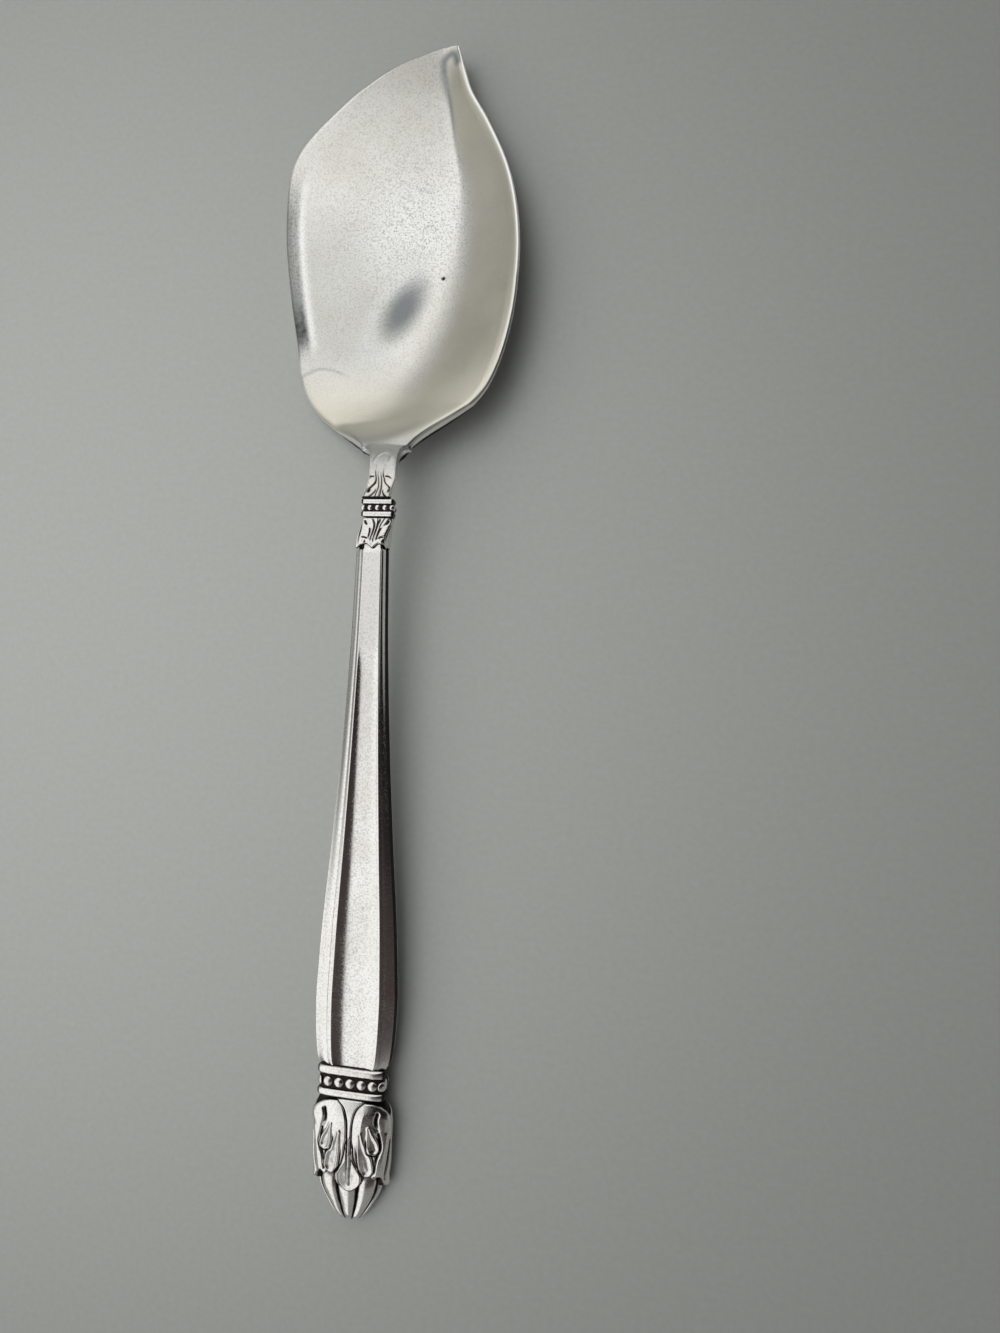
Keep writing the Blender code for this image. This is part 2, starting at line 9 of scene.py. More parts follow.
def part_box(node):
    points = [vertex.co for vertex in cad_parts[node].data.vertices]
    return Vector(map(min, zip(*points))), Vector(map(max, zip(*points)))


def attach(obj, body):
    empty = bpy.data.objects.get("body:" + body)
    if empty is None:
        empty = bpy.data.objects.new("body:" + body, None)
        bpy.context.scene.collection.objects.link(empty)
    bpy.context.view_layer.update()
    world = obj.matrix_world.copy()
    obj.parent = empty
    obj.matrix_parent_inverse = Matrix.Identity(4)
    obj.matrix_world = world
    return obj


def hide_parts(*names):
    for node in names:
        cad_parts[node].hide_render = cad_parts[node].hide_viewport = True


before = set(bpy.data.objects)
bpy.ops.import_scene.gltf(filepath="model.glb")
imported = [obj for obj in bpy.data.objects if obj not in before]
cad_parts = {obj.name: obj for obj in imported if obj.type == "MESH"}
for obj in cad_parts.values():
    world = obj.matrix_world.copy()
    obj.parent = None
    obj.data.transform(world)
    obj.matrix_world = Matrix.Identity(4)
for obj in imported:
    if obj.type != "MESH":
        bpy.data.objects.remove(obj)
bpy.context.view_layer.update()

# Lengths are in millimetres and become metres as each mesh is made. Y = 0 is the joint between the neck's
# rings and the ferrule, +Y runs to the bowl's tip, and X = 0 is the handle's middle. The bowl is drawn above
# the table, and the handle's own pieces on a level axis through the joint.
MM = 0.001

# Bowl
bowl_length = 58.7
bowl_left_reach = 20.1
bowl_right_reach = 16.9
bowl_wall = 1.0
bowl_rim_thickness = 0.7
right_rim_height = 8.6
tip_height = 4.2
tip_reach = 5.5
tip_blunt = 0.6
tip_rim_rise = 0.2
heel_height = 7.6
knee_height = 1.15
knee_inset = 2.8
knee_bend = 0.6
floor_height = -0.2
lip_drop = 0.8
rim_round = 0.30

# Fineness of the bowl's mesh, and the rows on each side of the heel over which its fillets run
bowl_rows = 240
neck_rows = 70
bowl_columns = 151
fillet_rows = 24

# Neck and its rings
neck_length = 7.4
neck_width = 3.8
neck_thickness = 2.6
neck_veer = 1.25
neck_taper = 0.8
neck_side_round = 0.12
neck_edge_rise = 0.12
neck_ring_width = 4.0
neck_ring_depth = 2.6
neck_upper_ring_length = 0.75
neck_bead_ring_length = 0.85
neck_lower_ring_length = 0.78
neck_ring_shift = 0.8
neck_ring_squareness = 12
ring_taper = 0.5
neck_bead_count = 14
tang_width = 1.8
tang_thickness = 0.9

# Leaf ferrule
ferrule_body_length = 2.4
ferrule_collar_rise = 0.22
ferrule_leaf_length = 1.3
ferrule_skirt_wall = 0.18
ferrule_inset = 0.12
ferrule_squareness = 7
ferrule_lean = 0.4

# Handle shells
handle_length = 68.85
handle_neck_width = 3.95
handle_neck_depth = 2.9
handle_width = 10.95
handle_depth = 3.2
handle_end_width = 9.2
handle_end_round = 9.3
handle_wall = 0.4
handle_seat_step = 0.14
panel_neck_share = 0.56
panel_end_share = 0.57
panel_neck_shift = 0.40
panel_dish = 0.14
back_dish_share = 0.25
edge_share = 0.5
edge_bead_share = 0.74
edge_bead_rise = 0.06
edge_bead_points = 15
edge_groove_sink = 0.03
ridge_round = 0.12

# End rings
end_ring_width = 9.1
end_ring_depth = 3.7
end_ring_squareness = 5.0
end_upper_ring_length = 1.25
end_bead_ring_length = 1.75
end_lower_ring_length = 1.05
end_bead_count = 16

# Finial
calyx_length = 10.6
calyx_width = 11.0
calyx_depth = 4.8
calyx_leaf_relief = 0.35
calyx_wall = 0.6
calyx_ground_sink = 0.27
calyx_seam_depth = 0.12
calyx_gap_depth = 0.25
calyx_hem_roll = 0.4
calyx_inset = 0.05
finial_squareness = 2.3
bud_seat_depth = 7.4
front_shift = 0.27
bud_stand_out = 6.0
bud_inset = 0.45
bud_lobes = 8
bud_lobe_relief = 0.48
stem_width = 3.0
stem_thickness = 1.2

# Clearances, and the holes for the flat tang and stem
solder_gap = 0.06
bore_clearance = 0.08
cup_clearance = 0.1
bore_squareness = 9

# Shape laws of the bowl: the share of its length from heel to tip, then the share of the way that is meant
left_edge = ((0, 0.305), (0.06, 0.54), (0.127, 0.715), (0.18, 0.795), (0.30, 0.874), (0.46, 0.955),
             (0.62, 1.0), (0.73, 0.98), (0.80, 0.905), (0.88, 0.705), (0.93, 0.535), (0.983, 0.25), (1, 0.05))
right_edge = ((0, -0.26), (0.03, -0.08), (0.06, 0.22), (0.09, 0.47), (0.127, 0.655), (0.18, 0.80),
              (0.30, 0.958), (0.42, 1.0), (0.55, 0.94), (0.67, 0.775), (0.80, 0.455), (0.88, 0.215),
              (0.93, 0.118), (1, 0.0))
valley_line = ((0, 0.02), (0.13, 0.0), (0.25, 0.17), (0.40, 0.355), (0.55, 0.42), (0.69, 0.385),
               (0.79, 0.31), (0.96, 0.22), (1, 0.21))
valley_bend = ((0, 3.0), (0.30, 5.0), (0.55, 3.0), (0.75, 0.7), (1, 0.3))
heel_fall = ((0, 1.0), (0.03, 0.875), (0.08, 0.68), (0.16, 0.38), (0.23, 0.17), (0.30, 0.045), (0.38, 0.0))
tip_lift = ((0.58, 0.0), (0.75, 0.16), (0.90, 0.55), (1, 1.0))
rim_rise = ((0, 0.0), (0.15, 0.75), (0.40, 1.0))
rim_fall = ((0.40, 0.0), (0.60, 0.27), (0.80, 0.645), (1, 1.0))
lip_roll = ((0.25, 0.0), (0.34, 1.0), (0.61, 1.0), (0.75, 0.0))

# Share of the bowl's length by which the heel falls sooner at its left edge than at its right
heel_lead = 0.10

# Shares of the neck's length: where it leaves the handle's axis, and where it has veered all the way
neck_straight = 0.05
neck_veered = 0.3
# Share of the veer that the neck has at its rings, share of its fall that is even, and how late it flares
neck_veer_start = 0.4
neck_even_fall = 0.34
neck_flare_power = 5

# Distance up the neck from its rings, then how far right of the neck's middle its leaf's middle line lies
neck_leaf_line = ((0, 0.22), (0.8, 0.22), (3.0, -0.38), (3.6, -0.38), (5.6, 0.27))

# Share of the way from the ferrule to the widest place, then the share of the growth in width
handle_flare = ((0, 0.0), (0.21, 0.10), (0.45, 0.32), (0.67, 0.60), (0.86, 0.87), (1, 1.0))

# Share of the handle's length, then the share of the panel's full dish
dish_growth = ((0, 0.05), (0.20, 0.12), (0.26, 0.75), (0.45, 1.0))

# Share of the way from the end band to the bud's tip, then the share of the finial's full depth and width
finial_depth_swell = ((0, 0.80), (0.14, 0.98), (0.40, 1.0), (0.65, 0.90), (0.78, 0.76), (0.90, 0.54),
                      (0.97, 0.32), (1, 0.16))
finial_width_swell = ((0, 0.90), (0.12, 1.0), (0.45, 1.0), (0.65, 0.94), (0.78, 0.80), (0.90, 0.57),
                      (0.97, 0.37), (1, 0.25))

# Leaf ornament. A stroke is a dark cut, a bright rib or a spoon-shaped loop with a rim and a moat round it:
# its kind, a line of points, a half width and a depth. A point is (distance round the piece from its front or
# back middle line, distance along it), and every stroke is mirrored left and right.
loop_rim_width = 0.14
loop_moat_place = 0.30
loop_moat_width = 0.13
calyx_inner_edge = ((0, 2.5), (0.5, 1.95), (1.0, 1.25), (1.4, 0.93), (2.35, 0.58), (3.7, 0.42), (5.1, 0.40),
                    (6.1, 0.62), (7.2, 0.75), (8.5, 1.15), (9.5, 1.9), (10.4, 2.5))
calyx_shoulder = ((0, 0.40), (3.0, 0.45), (4.2, 0.75), (5.2, 1.4), (6.0, 2.1), (6.8, 2.3))
calyx_hem = ((0, 12.25), (0.6, 12.1), (1.1, 11.75), (1.6, 11.15), (1.95, 10.3), (2.15, 9.85), (2.6, 9.95),
             (3.0, 9.85), (3.3, 10.0), (3.65, 10.3), (4.1, 10.0), (4.6, 10.1), (5.3, 10.7), (6.1, 11.5),
             (6.6, 11.3))
calyx_strokes = (
    ("cut", ((4.0, 4.2), (4.3, 5.6), (4.05, 6.8), (3.72, 7.9), (3.55, 9.6)), 0.20, 0.35),
    ("rib", ((5.1, 4.4), (4.95, 5.6), (4.62, 7.2), (4.3, 9.6)), 0.25, 0.12),
    ("cut", ((5.9, 5.2), (5.6, 7.0), (5.3, 9.0), (5.2, 10.2)), 0.16, 0.25),
    ("loop", ((0.0, 7.4), (0.0, 9.2), (0.0, 10.5)), 1.60, 0.16),
    ("loop", ((1.5, 4.3), (1.75, 5.8), (2.2, 7.4), (2.5, 8.9)), 0.82, 0.20),
    ("loop", ((2.65, 3.4), (2.9, 4.4), (3.2, 5.4), (3.4, 6.1)), 0.66, 0.20),
    ("cut", ((3.75, 1.7), (3.58, 2.3), (3.62, 3.0), (3.95, 3.8)), 0.26, 0.45),
    ("rib", ((0.0, 5.0), (0.0, 8.0), (0.0, 11.2)), 0.14, 0.14),
    ("cut", ((0.27, 5.3), (0.28, 7.5), (0.27, 10.9)), 0.09, 0.16),
)
ferrule_hem = ((0, 4.0), (0.4, 3.72), (0.82, 3.44), (1.2, 3.5), (1.55, 3.58), (1.95, 3.85), (2.4, 4.0),
               (3.1, 3.7))
ferrule_strokes = (
    ("cut", ((1.45, 0.45), (1.34, 0.72), (1.1, 1.0)), 0.17, 0.12),
    ("cut", ((0.72, 1.4), (0.62, 2.0), (0.64, 2.8)), 0.09, 0.09),
    ("cut", ((0.42, 0.25), (0.20, 1.0), (0.17, 1.8), (0.20, 2.9)), 0.08, 0.08),
    ("cut", ((0.85, 2.66), (1.2, 2.54), (1.6, 2.62)), 0.13, 0.13),
    ("rib", ((0.0, 0.1), (0.0, 1.5), (0.0, 3.0)), 0.12, 0.05),
    ("rib", ((0.80, 0.1), (0.45, 0.8), (0.36, 1.5), (0.40, 2.8)), 0.13, 0.05),
    ("rib", ((1.2, 3.05), (1.2, 3.10), (1.2, 3.15)), 0.26, 0.12),
    ("rib", ((0.0, 3.75), (0.35, 3.45), (0.75, 3.15)), 0.16, 0.05),
    ("cut", ((1.95, 0.9), (1.9, 1.8), (1.95, 3.4)), 0.13, 0.14),
)
neck_strokes = (
    ("cut", ((1.40, 0.80), (1.36, 1.05), (1.05, 1.35), (0.66, 1.75), (0.54, 2.3), (0.52, 3.0), (0.55, 4.1)),
     0.11, 0.08),
    ("cut", ((1.40, 0.74), (1.38, 0.86), (1.32, 1.0)), 0.22, 0.14),
    ("cut", ((1.15, 0.20), (0.62, 0.55), (0.42, 1.0)), 0.09, 0.07),
    ("cut", ((0.32, 0.3), (0.22, 1.2), (0.22, 2.2), (0.26, 3.2)), 0.07, 0.05),
    ("cut", ((0.80, 2.55), (1.20, 2.50), (1.60, 2.15)), 0.11, 0.08),
    ("rib", ((0.0, 0.2), (0.0, 1.6), (0.0, 3.2)), 0.12, 0.04),
    ("rib", ((1.05, 4.5), (0.95, 5.2), (0.55, 5.7), (0.0, 5.9)), 0.16, 0.05),
)

# Marks on the bowl's upper face, as (sideways, along) from the joint: the pressed crease at the foot of the
# wall, with its hook at the tip, a soft fold over the heel's left lobe, one pit, a painted dark reflection
# and the most worn place
wall_crease = ((5.85, 66.2), (5.3, 67.2), (4.5, 67.4), (3.7, 66.6), (3.9, 63.7), (4.6, 60.6), (5.2, 56.4),
               (6.0, 53.0), (6.4, 50.3))
crease_half_width = 0.75
crease_depth = 0.03
heel_fold = ((-15.2, 22.6), (-12.5, 23.6), (-9.5, 22.9), (-6.6, 20.9))
fold_half_width = 0.38
fold_depth = 0.05
pit_place = (4.6, 36.6)
pit_radius = 0.35
pit_depth = 0.12
dark_reflection_place = (-1.2, 32.3)
dark_reflection_half_length = 6.3
dark_reflection_half_width = 3.3
dark_reflection_turn = 60
worn_place = (0.0, 44.5)
worn_reach = 9.0

# Places along the handle's axis
lower_ring_top = ferrule_collar_rise + neck_lower_ring_length
bead_ring_top = lower_ring_top + neck_bead_ring_length
upper_ring_top = bead_ring_top + neck_upper_ring_length
heel_place = upper_ring_top + neck_length
shell_top = -ferrule_body_length
shell_end = shell_top - handle_length
widest_place = shell_end + handle_end_round
upper_band_end = shell_end - end_upper_ring_length
bead_band_end = upper_band_end - end_bead_ring_length
calyx_top = bead_band_end - end_lower_ring_length
calyx_end = calyx_top - calyx_length
bud_top = calyx_end + bud_seat_depth
bud_end = calyx_end - bud_stand_out


# Where the handle lies in the frame

def middle_of(node):
    low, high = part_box(node)
    return np.array((low + high) / 2) / MM


def find_axis():
    """The joint's place and the handle's pitch, from the rings at both ends of the handle."""
    neck, end = middle_of("neck_upper_ring"), middle_of("end_lower_ring")
    along = (neck - end) / np.linalg.norm(neck - end)
    joint = neck - along * (upper_ring_top - (neck_upper_ring_length - solder_gap) / 2)
    return joint, math.atan2(along[2], along[1])


joint_place, pitch = find_axis()
joint_height = joint_place[2]


def on_table(points):
    return points + np.array((joint_place[0], joint_place[1], 0))


def on_handle(points):
    """Onto the handle's axis, which bows a little to the right at the neck's rings."""
    x, y, z = points.T
    x = x + neck_ring_shift * eased(y, shell_top - 1.0, ferrule_collar_rise)
    turned = (x, y * math.cos(pitch) - z * math.sin(pitch), y * math.sin(pitch) + z * math.cos(pitch))
    return np.stack(turned, axis=1) + joint_place


# Curves and outlines

def flowing(points):
    """A smooth curve through the points that never swings past them (monotone cubic)."""
    x, y = np.array(points, float).T
    step = np.diff(x)
    slope = np.diff(y) / step
    tangent = np.concatenate(([slope[0]], (slope[1:] + slope[:-1]) / 2, [slope[-1]]))
    tangent[1:-1][slope[1:] * slope[:-1] <= 0] = 0
    for i, rise in enumerate(slope):
        limit = 3 * abs(rise)
        tangent[i] = np.clip(tangent[i], -limit, limit)
        tangent[i + 1] = np.clip(tangent[i + 1], -limit, limit)

    def value(at):
        at = np.clip(at, x[0], x[-1])
        i = np.clip(np.searchsorted(x, at) - 1, 0, len(step) - 1)
        t = (at - x[i]) / step[i]
        start = (1 + 2 * t) * (1 - t) ** 2 * y[i] + t * (1 - t) ** 2 * step[i] * tangent[i]
        finish = t * t * (3 - 2 * t) * y[i + 1] + t * t * (t - 1) * step[i] * tangent[i + 1]
        return start + finish

    return value


def eased(value, low, high):
    t = np.clip((value - low) / (high - low), 0, 1)
    return t * t * (3 - 2 * t)


def oval(width, depth, count, squareness=2.0):
    """Points evenly spaced round a rounded oblong, from its right side over the front."""
    angle = np.linspace(0, 2 * math.pi, 40 * count + 1)
    cosine, sine = np.cos(angle), np.sin(angle)
    x = width / 2 * np.sign(cosine) * np.abs(cosine) ** (2 / squareness)
    z = depth / 2 * np.sign(sine) * np.abs(sine) ** (2 / squareness)
    walked = np.concatenate(([0], np.cumsum(np.hypot(np.diff(x), np.diff(z)))))
    stops = np.arange(count) / count * walked[-1]
    return np.stack((np.interp(stops, walked, x), np.interp(stops, walked, z)), axis=1)


def grown(outline, by):
    """The outline moved outwards by a distance, or by one distance for each of its points."""
    ahead = np.roll(outline, -1, axis=0) - np.roll(outline, 1, axis=0)
    outward = np.stack((ahead[:, 1], -ahead[:, 0]), axis=1)
    outward /= np.linalg.norm(outward, axis=1, keepdims=True)
    return outline + outward * np.broadcast_to(by, len(outline))[:, None]


def tapered(outline, taper):
    """The outline with its sides leaning in towards the back: wider at the front, narrower at the back."""
    x, z = outline.T
    lean = taper / 2 * x / np.abs(x).max() * z / np.abs(z).max()
    return np.stack((x + lean, z), axis=1)


def at(outline, y):
    """Stands a flat outline up at a place on the axis, or at one place for each of its points."""
    return np.stack((outline[:, 0], np.broadcast_to(y, len(outline)), outline[:, 1]), axis=1)


def round_from_middle(outline, shift=0.0):
    """Each point's distance round the outline from the nearer of its middle lines, front or back, which may
    both be shifted to the right."""
    step = np.linalg.norm(np.roll(outline, -1, axis=0) - outline, axis=1).mean()
    half = len(outline) // 2
    turn = np.arange(len(outline)) % half - half / 2
    return np.abs(turn * step + np.where(np.arange(len(outline)) < half, shift, -shift))


# Leaf ornament

def smooth_line(points, count=70):
    """Points along a curve through a few given ones (Catmull-Rom)."""
    given = np.array(points, float)
    given = np.concatenate((2 * given[:1] - given[1:2], given, 2 * given[-1:] - given[-2:-1]))
    line = []
    for t in np.linspace(0, len(points) - 1, count):
        i = min(int(t), len(points) - 2)
        a, b, c, d = given[i:i + 4]
        u = t - i
        line.append(0.5 * (2 * b + (c - a) * u + (2 * a - 5 * b + 4 * c - d) * u ** 2
                           + (3 * b - a - 3 * c + d) * u ** 3))
    return np.array(line)


def line_gap(points, given):
    """Each point's distance from a curve, and the share along the curve of the nearest place."""
    line = smooth_line(given)
    gap = np.linalg.norm(points[:, None, :] - line[None, :, :], axis=2)
    return gap.min(axis=1), gap.argmin(axis=1) / (len(line) - 1)


def carve(distance, along, strokes):
    """Height of the ornament over each point, and how deep in a recess the point lies, from 0 to 1."""
    points = np.stack((np.ravel(distance), np.ravel(along)), axis=1)
    height, recess = np.zeros(len(points)), np.zeros(len(points))
    for kind, given, half_width, depth in strokes:
        gap, share = line_gap(points, given)
        if kind == "loop":
            outside = gap - half_width * (0.2 + 0.8 * eased(share, 0, 0.8))
            cover = 1 - eased(outside, 0.0, 0.2)
            hollow = eased(-outside, 0.1, 0.1 + 0.6 * half_width)
            rim = np.exp(-(outside / loop_rim_width) ** 2)
            moat = np.exp(-((outside - loop_moat_place) / loop_moat_width) ** 2) * eased(share, 0.2, 0.6)
            height = height * (1 - cover) + depth * (0.5 * rim - 0.6 * hollow - 0.8 * moat)
            recess = np.maximum(recess * (1 - cover), np.maximum(0.9 * moat, 0.4 * hollow * (1 - rim)))
        elif kind == "rib":
            height += depth * np.exp(-(gap / half_width) ** 2)
        else:
            groove = np.exp(-(gap / half_width) ** 2) * (1 - 0.6 * eased(share, 0.6, 1))
            height = np.minimum(height, height * (1 - groove) - depth * groove)
            recess = np.maximum(recess, groove)
    return height.reshape(np.shape(distance)), recess.reshape(np.shape(distance))


# Meshes

def band_faces(count, rows, closed_rows=False):
    """Quads between neighbouring loops of points, and from the last loop to the first if asked."""
    row, i = np.meshgrid(np.arange(rows if closed_rows else rows - 1), np.arange(count), indexing="ij")
    a, b, j = row * count, (row + 1) % rows * count, (i + 1) % count
    return np.stack((a + i, a + j, b + j, b + i), axis=-1).reshape(-1, 4).tolist()


def fan_faces(start, count, centre):
    return [(start + i, start + (i + 1) % count, centre) for i in range(count)]


def closed_faces(count, rows):
    """Faces over loops of points that close at both ends, round two points that come after the loops."""
    end = count * rows
    return band_faces(count, rows) + fan_faces(0, count, end) + fan_faces(end - count, count, end + 1)


def make_piece(node, points, faces, slot, material, sharp=38, **masks):
    """One visible piece that stands for a solid of the frame, with masks from 0 to 1 for its finish and its
    painted light and shade.
    """
    mesh = bpy.data.meshes.new(f"{node}_fine")
    mesh.from_pydata((points * MM).tolist(), [], faces)
    mesh.validate()
    for name, values in masks.items():
        mesh.attributes.new(name, "FLOAT", "POINT").data.foreach_set("value", np.ravel(values))
    mesh.shade_smooth()
    mesh.set_sharp_from_angle(angle=math.radians(sharp))
    mesh.materials.append(material)
    piece = bpy.data.objects.new(f"{node}_fine", mesh)
    bpy.context.scene.collection.objects.link(piece)
    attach(piece, "root")
    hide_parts(node)


def make_sleeve(node, loops, slot, material, recess):
    """A piece on the handle's axis, from loops that run down its outside and end at its bore."""
    faces = band_faces(len(loops[0]), len(loops), closed_rows=True)
    make_piece(node, on_handle(np.concatenate(loops)), faces, slot, material, recess=recess)


# Bowl and neck

def ramp(distance, full, bend):
    """Rises from 0 to 1 over the full distance, from a flat with a rounded bend at its foot."""
    def foot(u):
        return (np.sqrt(u ** 2 + bend ** 2) + u) / 2
    return (foot(distance) - foot(-full)) / (foot(full) - foot(-full))


def bowl_edges(share):
    """X of the left edge, the knee where the lip turns down, the valley and the right edge."""
    left = tip_reach - tip_blunt / 2
    left -= (bowl_left_reach + left) * flowing(left_edge)(share)
    right = tip_reach + tip_blunt / 2
    right += (bowl_right_reach - right) * flowing(right_edge)(share)
    width = right - left
    valley = bowl_right_reach * flowing(valley_line)(share)
    valley = min(max(valley, left + 0.35 * width), right - 0.12 * width)
    knee = left + min(knee_inset, 0.5 * (valley - left))
    return left, knee, valley, right


def bowl_row(share, across):
    """Middle line of the sheet from the left edge to the right edge."""
    left, knee, valley, right = bowl_edges(share)
    x = left + rim_round + across * (right - left - 2 * rim_round)
    heel = flowing(heel_fall)(share + heel_lead * eased(share, 0.0, 0.08) * (1 - across) ** 2)
    tip = flowing(tip_lift)(share)
    floor = floor_height + (heel_height - floor_height) * heel + (tip_height - floor_height) * tip
    rim = heel_height + (right_rim_height - heel_height) * flowing(rim_rise)(share)
    rim -= (right_rim_height - tip_height - tip_rim_rise) * flowing(rim_fall)(share)
    bend = flowing(valley_bend)(share)
    z = floor + (rim - floor[-1]) * ramp(x - valley, right - valley, bend)
    z += (knee_height - floor_height) * (1 - heel) * (1 - tip) * ramp(valley - x, valley - knee, bend)
    z -= lip_drop * flowing(lip_roll)(share) * ramp(knee - x, knee - left, knee_bend)
    y = heel_place + share * (bowl_length - rim_round)
    return np.stack((x, np.full_like(x, y), z), axis=1)


def neck_row(share, across):
    """Middle line of the neck, which leaves the handle's axis at the rings and falls away into the heel."""
    heel = bowl_row(0, across)
    distance = upper_ring_top + solder_gap + share * (neck_length - solder_gap)
    y, axis = distance * math.cos(pitch), joint_height + distance * math.sin(pitch)
    flare = share ** neck_flare_power
    width = neck_width + (heel[-1, 0] - heel[0, 0] - neck_width) * flare
    veer = neck_veer * (neck_veer_start + (1 - neck_veer_start) * min(1, share / neck_veered))
    centre = veer * (1 - share ** 2) + (heel[-1, 0] + heel[0, 0]) / 2 * flare
    bent = max(0, share - neck_straight) / (1 - neck_straight)
    fall = (axis - heel[:, 2]) * (neck_even_fall * bent + (1 - neck_even_fall) * bent ** 2)
    return np.stack((centre + (across - 0.5) * width, np.full_like(across, y), axis - fall), axis=1)


def sheet_thickness(place, across):
    """Thickness over one row: a round-edged bar in the neck, a sheet thinner at its rim in the bowl."""
    crown = np.sqrt(np.clip(1 - (2 * across - 1) ** 2, 0, 1))
    bar = neck_thickness * (0.5 + 0.5 * np.sqrt(np.clip(1 - (2 * across - 1) ** 16, 0, 1)))
    sheet = bowl_rim_thickness + (bowl_wall - bowl_rim_thickness) * np.minimum(1, 3 * crown)
    blend = eased(place, heel_place - 0.35 * neck_length, heel_place + 0.16 * bowl_length)
    return bar + (sheet - bar) * blend


def softened(grid, passes):
    """The grid with each inner point drawn towards its neighbours, which rounds off the creases."""
    for _ in range(passes):
        along = (grid[:-2, 1:-1] + grid[2:, 1:-1]) / 2
        across = (grid[1:-1, :-2] + grid[1:-1, 2:]) / 2
        inner = grid[1:-1, 1:-1]
        grid = grid.copy()
        grid[1:-1, 1:-1] = 0.4 * inner + 0.3 * along + 0.3 * across
    return grid


def filleted_sides(grid, row, reach):
    """The grid with its two sides rounded in plan over the rows near the given one."""
    x = grid[:, :, 0]
    sides = x[:, [0, -1]].copy()
    across = (x - sides[:, :1]) / (sides[:, 1:] - sides[:, :1])
    for _ in range(80):
        near = sides[row - reach:row + reach + 1]
        sides[row - reach + 1:row + reach] = near[1:-1] / 2 + (near[:-2] + near[2:]) / 4
    grid = grid.copy()
    grid[:, :, 0] = sides[:, :1] + across * (sides[:, 1:] - sides[:, :1])
    return grid


def sheet_surfaces(across):
    """Upper and lower face of the sheet, rings to tip, how far each row counts as neck, and the masks."""
    shares = np.linspace(0, 1, bowl_rows)
    neck = [neck_row(share, across) for share in np.linspace(0, 1, neck_rows)[:-1]]
    bowl = [bowl_row(share, across) for share in shares]
    heel = len(neck)
    middle = softened(filleted_sides(np.array(neck + bowl), heel, fillet_rows), passes=4)
    normal = np.cross(np.gradient(middle, axis=1), np.gradient(middle, axis=0))
    normal /= np.linalg.norm(normal, axis=2, keepdims=True)
    half = np.array([sheet_thickness(row[0, 1], across) / 2 for row in middle])
    edges = np.array([bowl_edges(share) for share in np.concatenate((np.zeros(heel), shares))])
    relief, masks = mark_bowl(middle[:, :, :2], edges)
    relief[:heel], masks["recess"][:heel] = carve_neck(middle[:heel])
    top = middle + normal * (half + relief)[:, :, None]
    bottom = middle - normal * half[:, :, None]
    in_neck = 1 - eased(middle[:, :1, 1], heel_place - 0.5 * neck_length, heel_place + 0.1 * bowl_length)
    bottom[:, :, 0] -= neck_taper * in_neck * (2 * across - 1)
    bottom[:, :, 2] = np.maximum(bottom[:, :, 2], 0)
    return top, bottom, in_neck[:, 0], masks


def make_bowl(material):
    """The stamped sheet and its neck, in rows that each run round the whole section over rounded edges."""
    even = np.linspace(0, 1, bowl_columns)
    across = 0.5 * even + 0.5 * (0.5 - 0.5 * np.cos(math.pi * even))
    top, bottom, in_neck, masks = sheet_surfaces(across)
    turns = np.linspace(0, math.pi, 7)[1:-1]
    loops = []
    for up, down, swell in zip(top, bottom, rim_round + (neck_side_round - rim_round) * in_neck):
        right, left = (edge_round(up, down, end, swell, turns) for end in (-1, 0))
        loops.append(np.concatenate((up, right, down[::-1], left[::-1])))
    faces = closed_faces(len(loops[0]), len(loops))
    points = np.concatenate(loops + [(loops[0].mean(axis=0), loops[-1].mean(axis=0))])

    # Painted highlight on the upper half of the rim's round, painted shade on its lower half and along the
    # underside's edges
    upper_rim = 1 - eased(turns, 0.35 * math.pi, 0.55 * math.pi)
    lower_rim = 0.8 * eased(turns, 0.45 * math.pi, 0.65 * math.pi)
    outer_wall = 0.8 * (1 - eased(np.minimum(across, 1 - across), 0.0, 0.06))
    below = {"rubbed_and_highlight": np.concatenate((upper_rim, np.zeros(len(across)), upper_rim[::-1])),
             "recess": np.concatenate((lower_rim, outer_wall, lower_rim[::-1]))}
    for name, mask in masks.items():
        under = np.tile(below.get(name, np.zeros(len(loops[0]) - len(across))), (len(mask), 1))
        masks[name] = np.concatenate((np.concatenate((mask, under), axis=1).ravel(), (0, 0)))
    make_piece("bowl", on_table(points), faces, "worn_plate", material, **masks)


def carve_neck(middle):
    """Height of the leaf on the neck's upper face and of the raised edges beside it, and its recesses."""
    x, up = middle[:, :, 0], middle[:, :, 1] - upper_ring_top
    left, right = x[:, :1], x[:, -1:]
    leaf_middle = (left + right) / 2 + flowing(neck_leaf_line)(up)
    height, recess = carve(np.abs(x - leaf_middle), up, neck_strokes)
    to_edge = np.minimum(x - left, right - x)
    edge = np.exp(-((to_edge - 0.12) / 0.16) ** 2) * (1 - eased(up, 5.0, 7.0))
    recess = np.maximum(recess * (1 - edge), 1 - eased(up, 0.15, 0.35))
    return height * (1 - edge) + neck_edge_rise * edge, recess


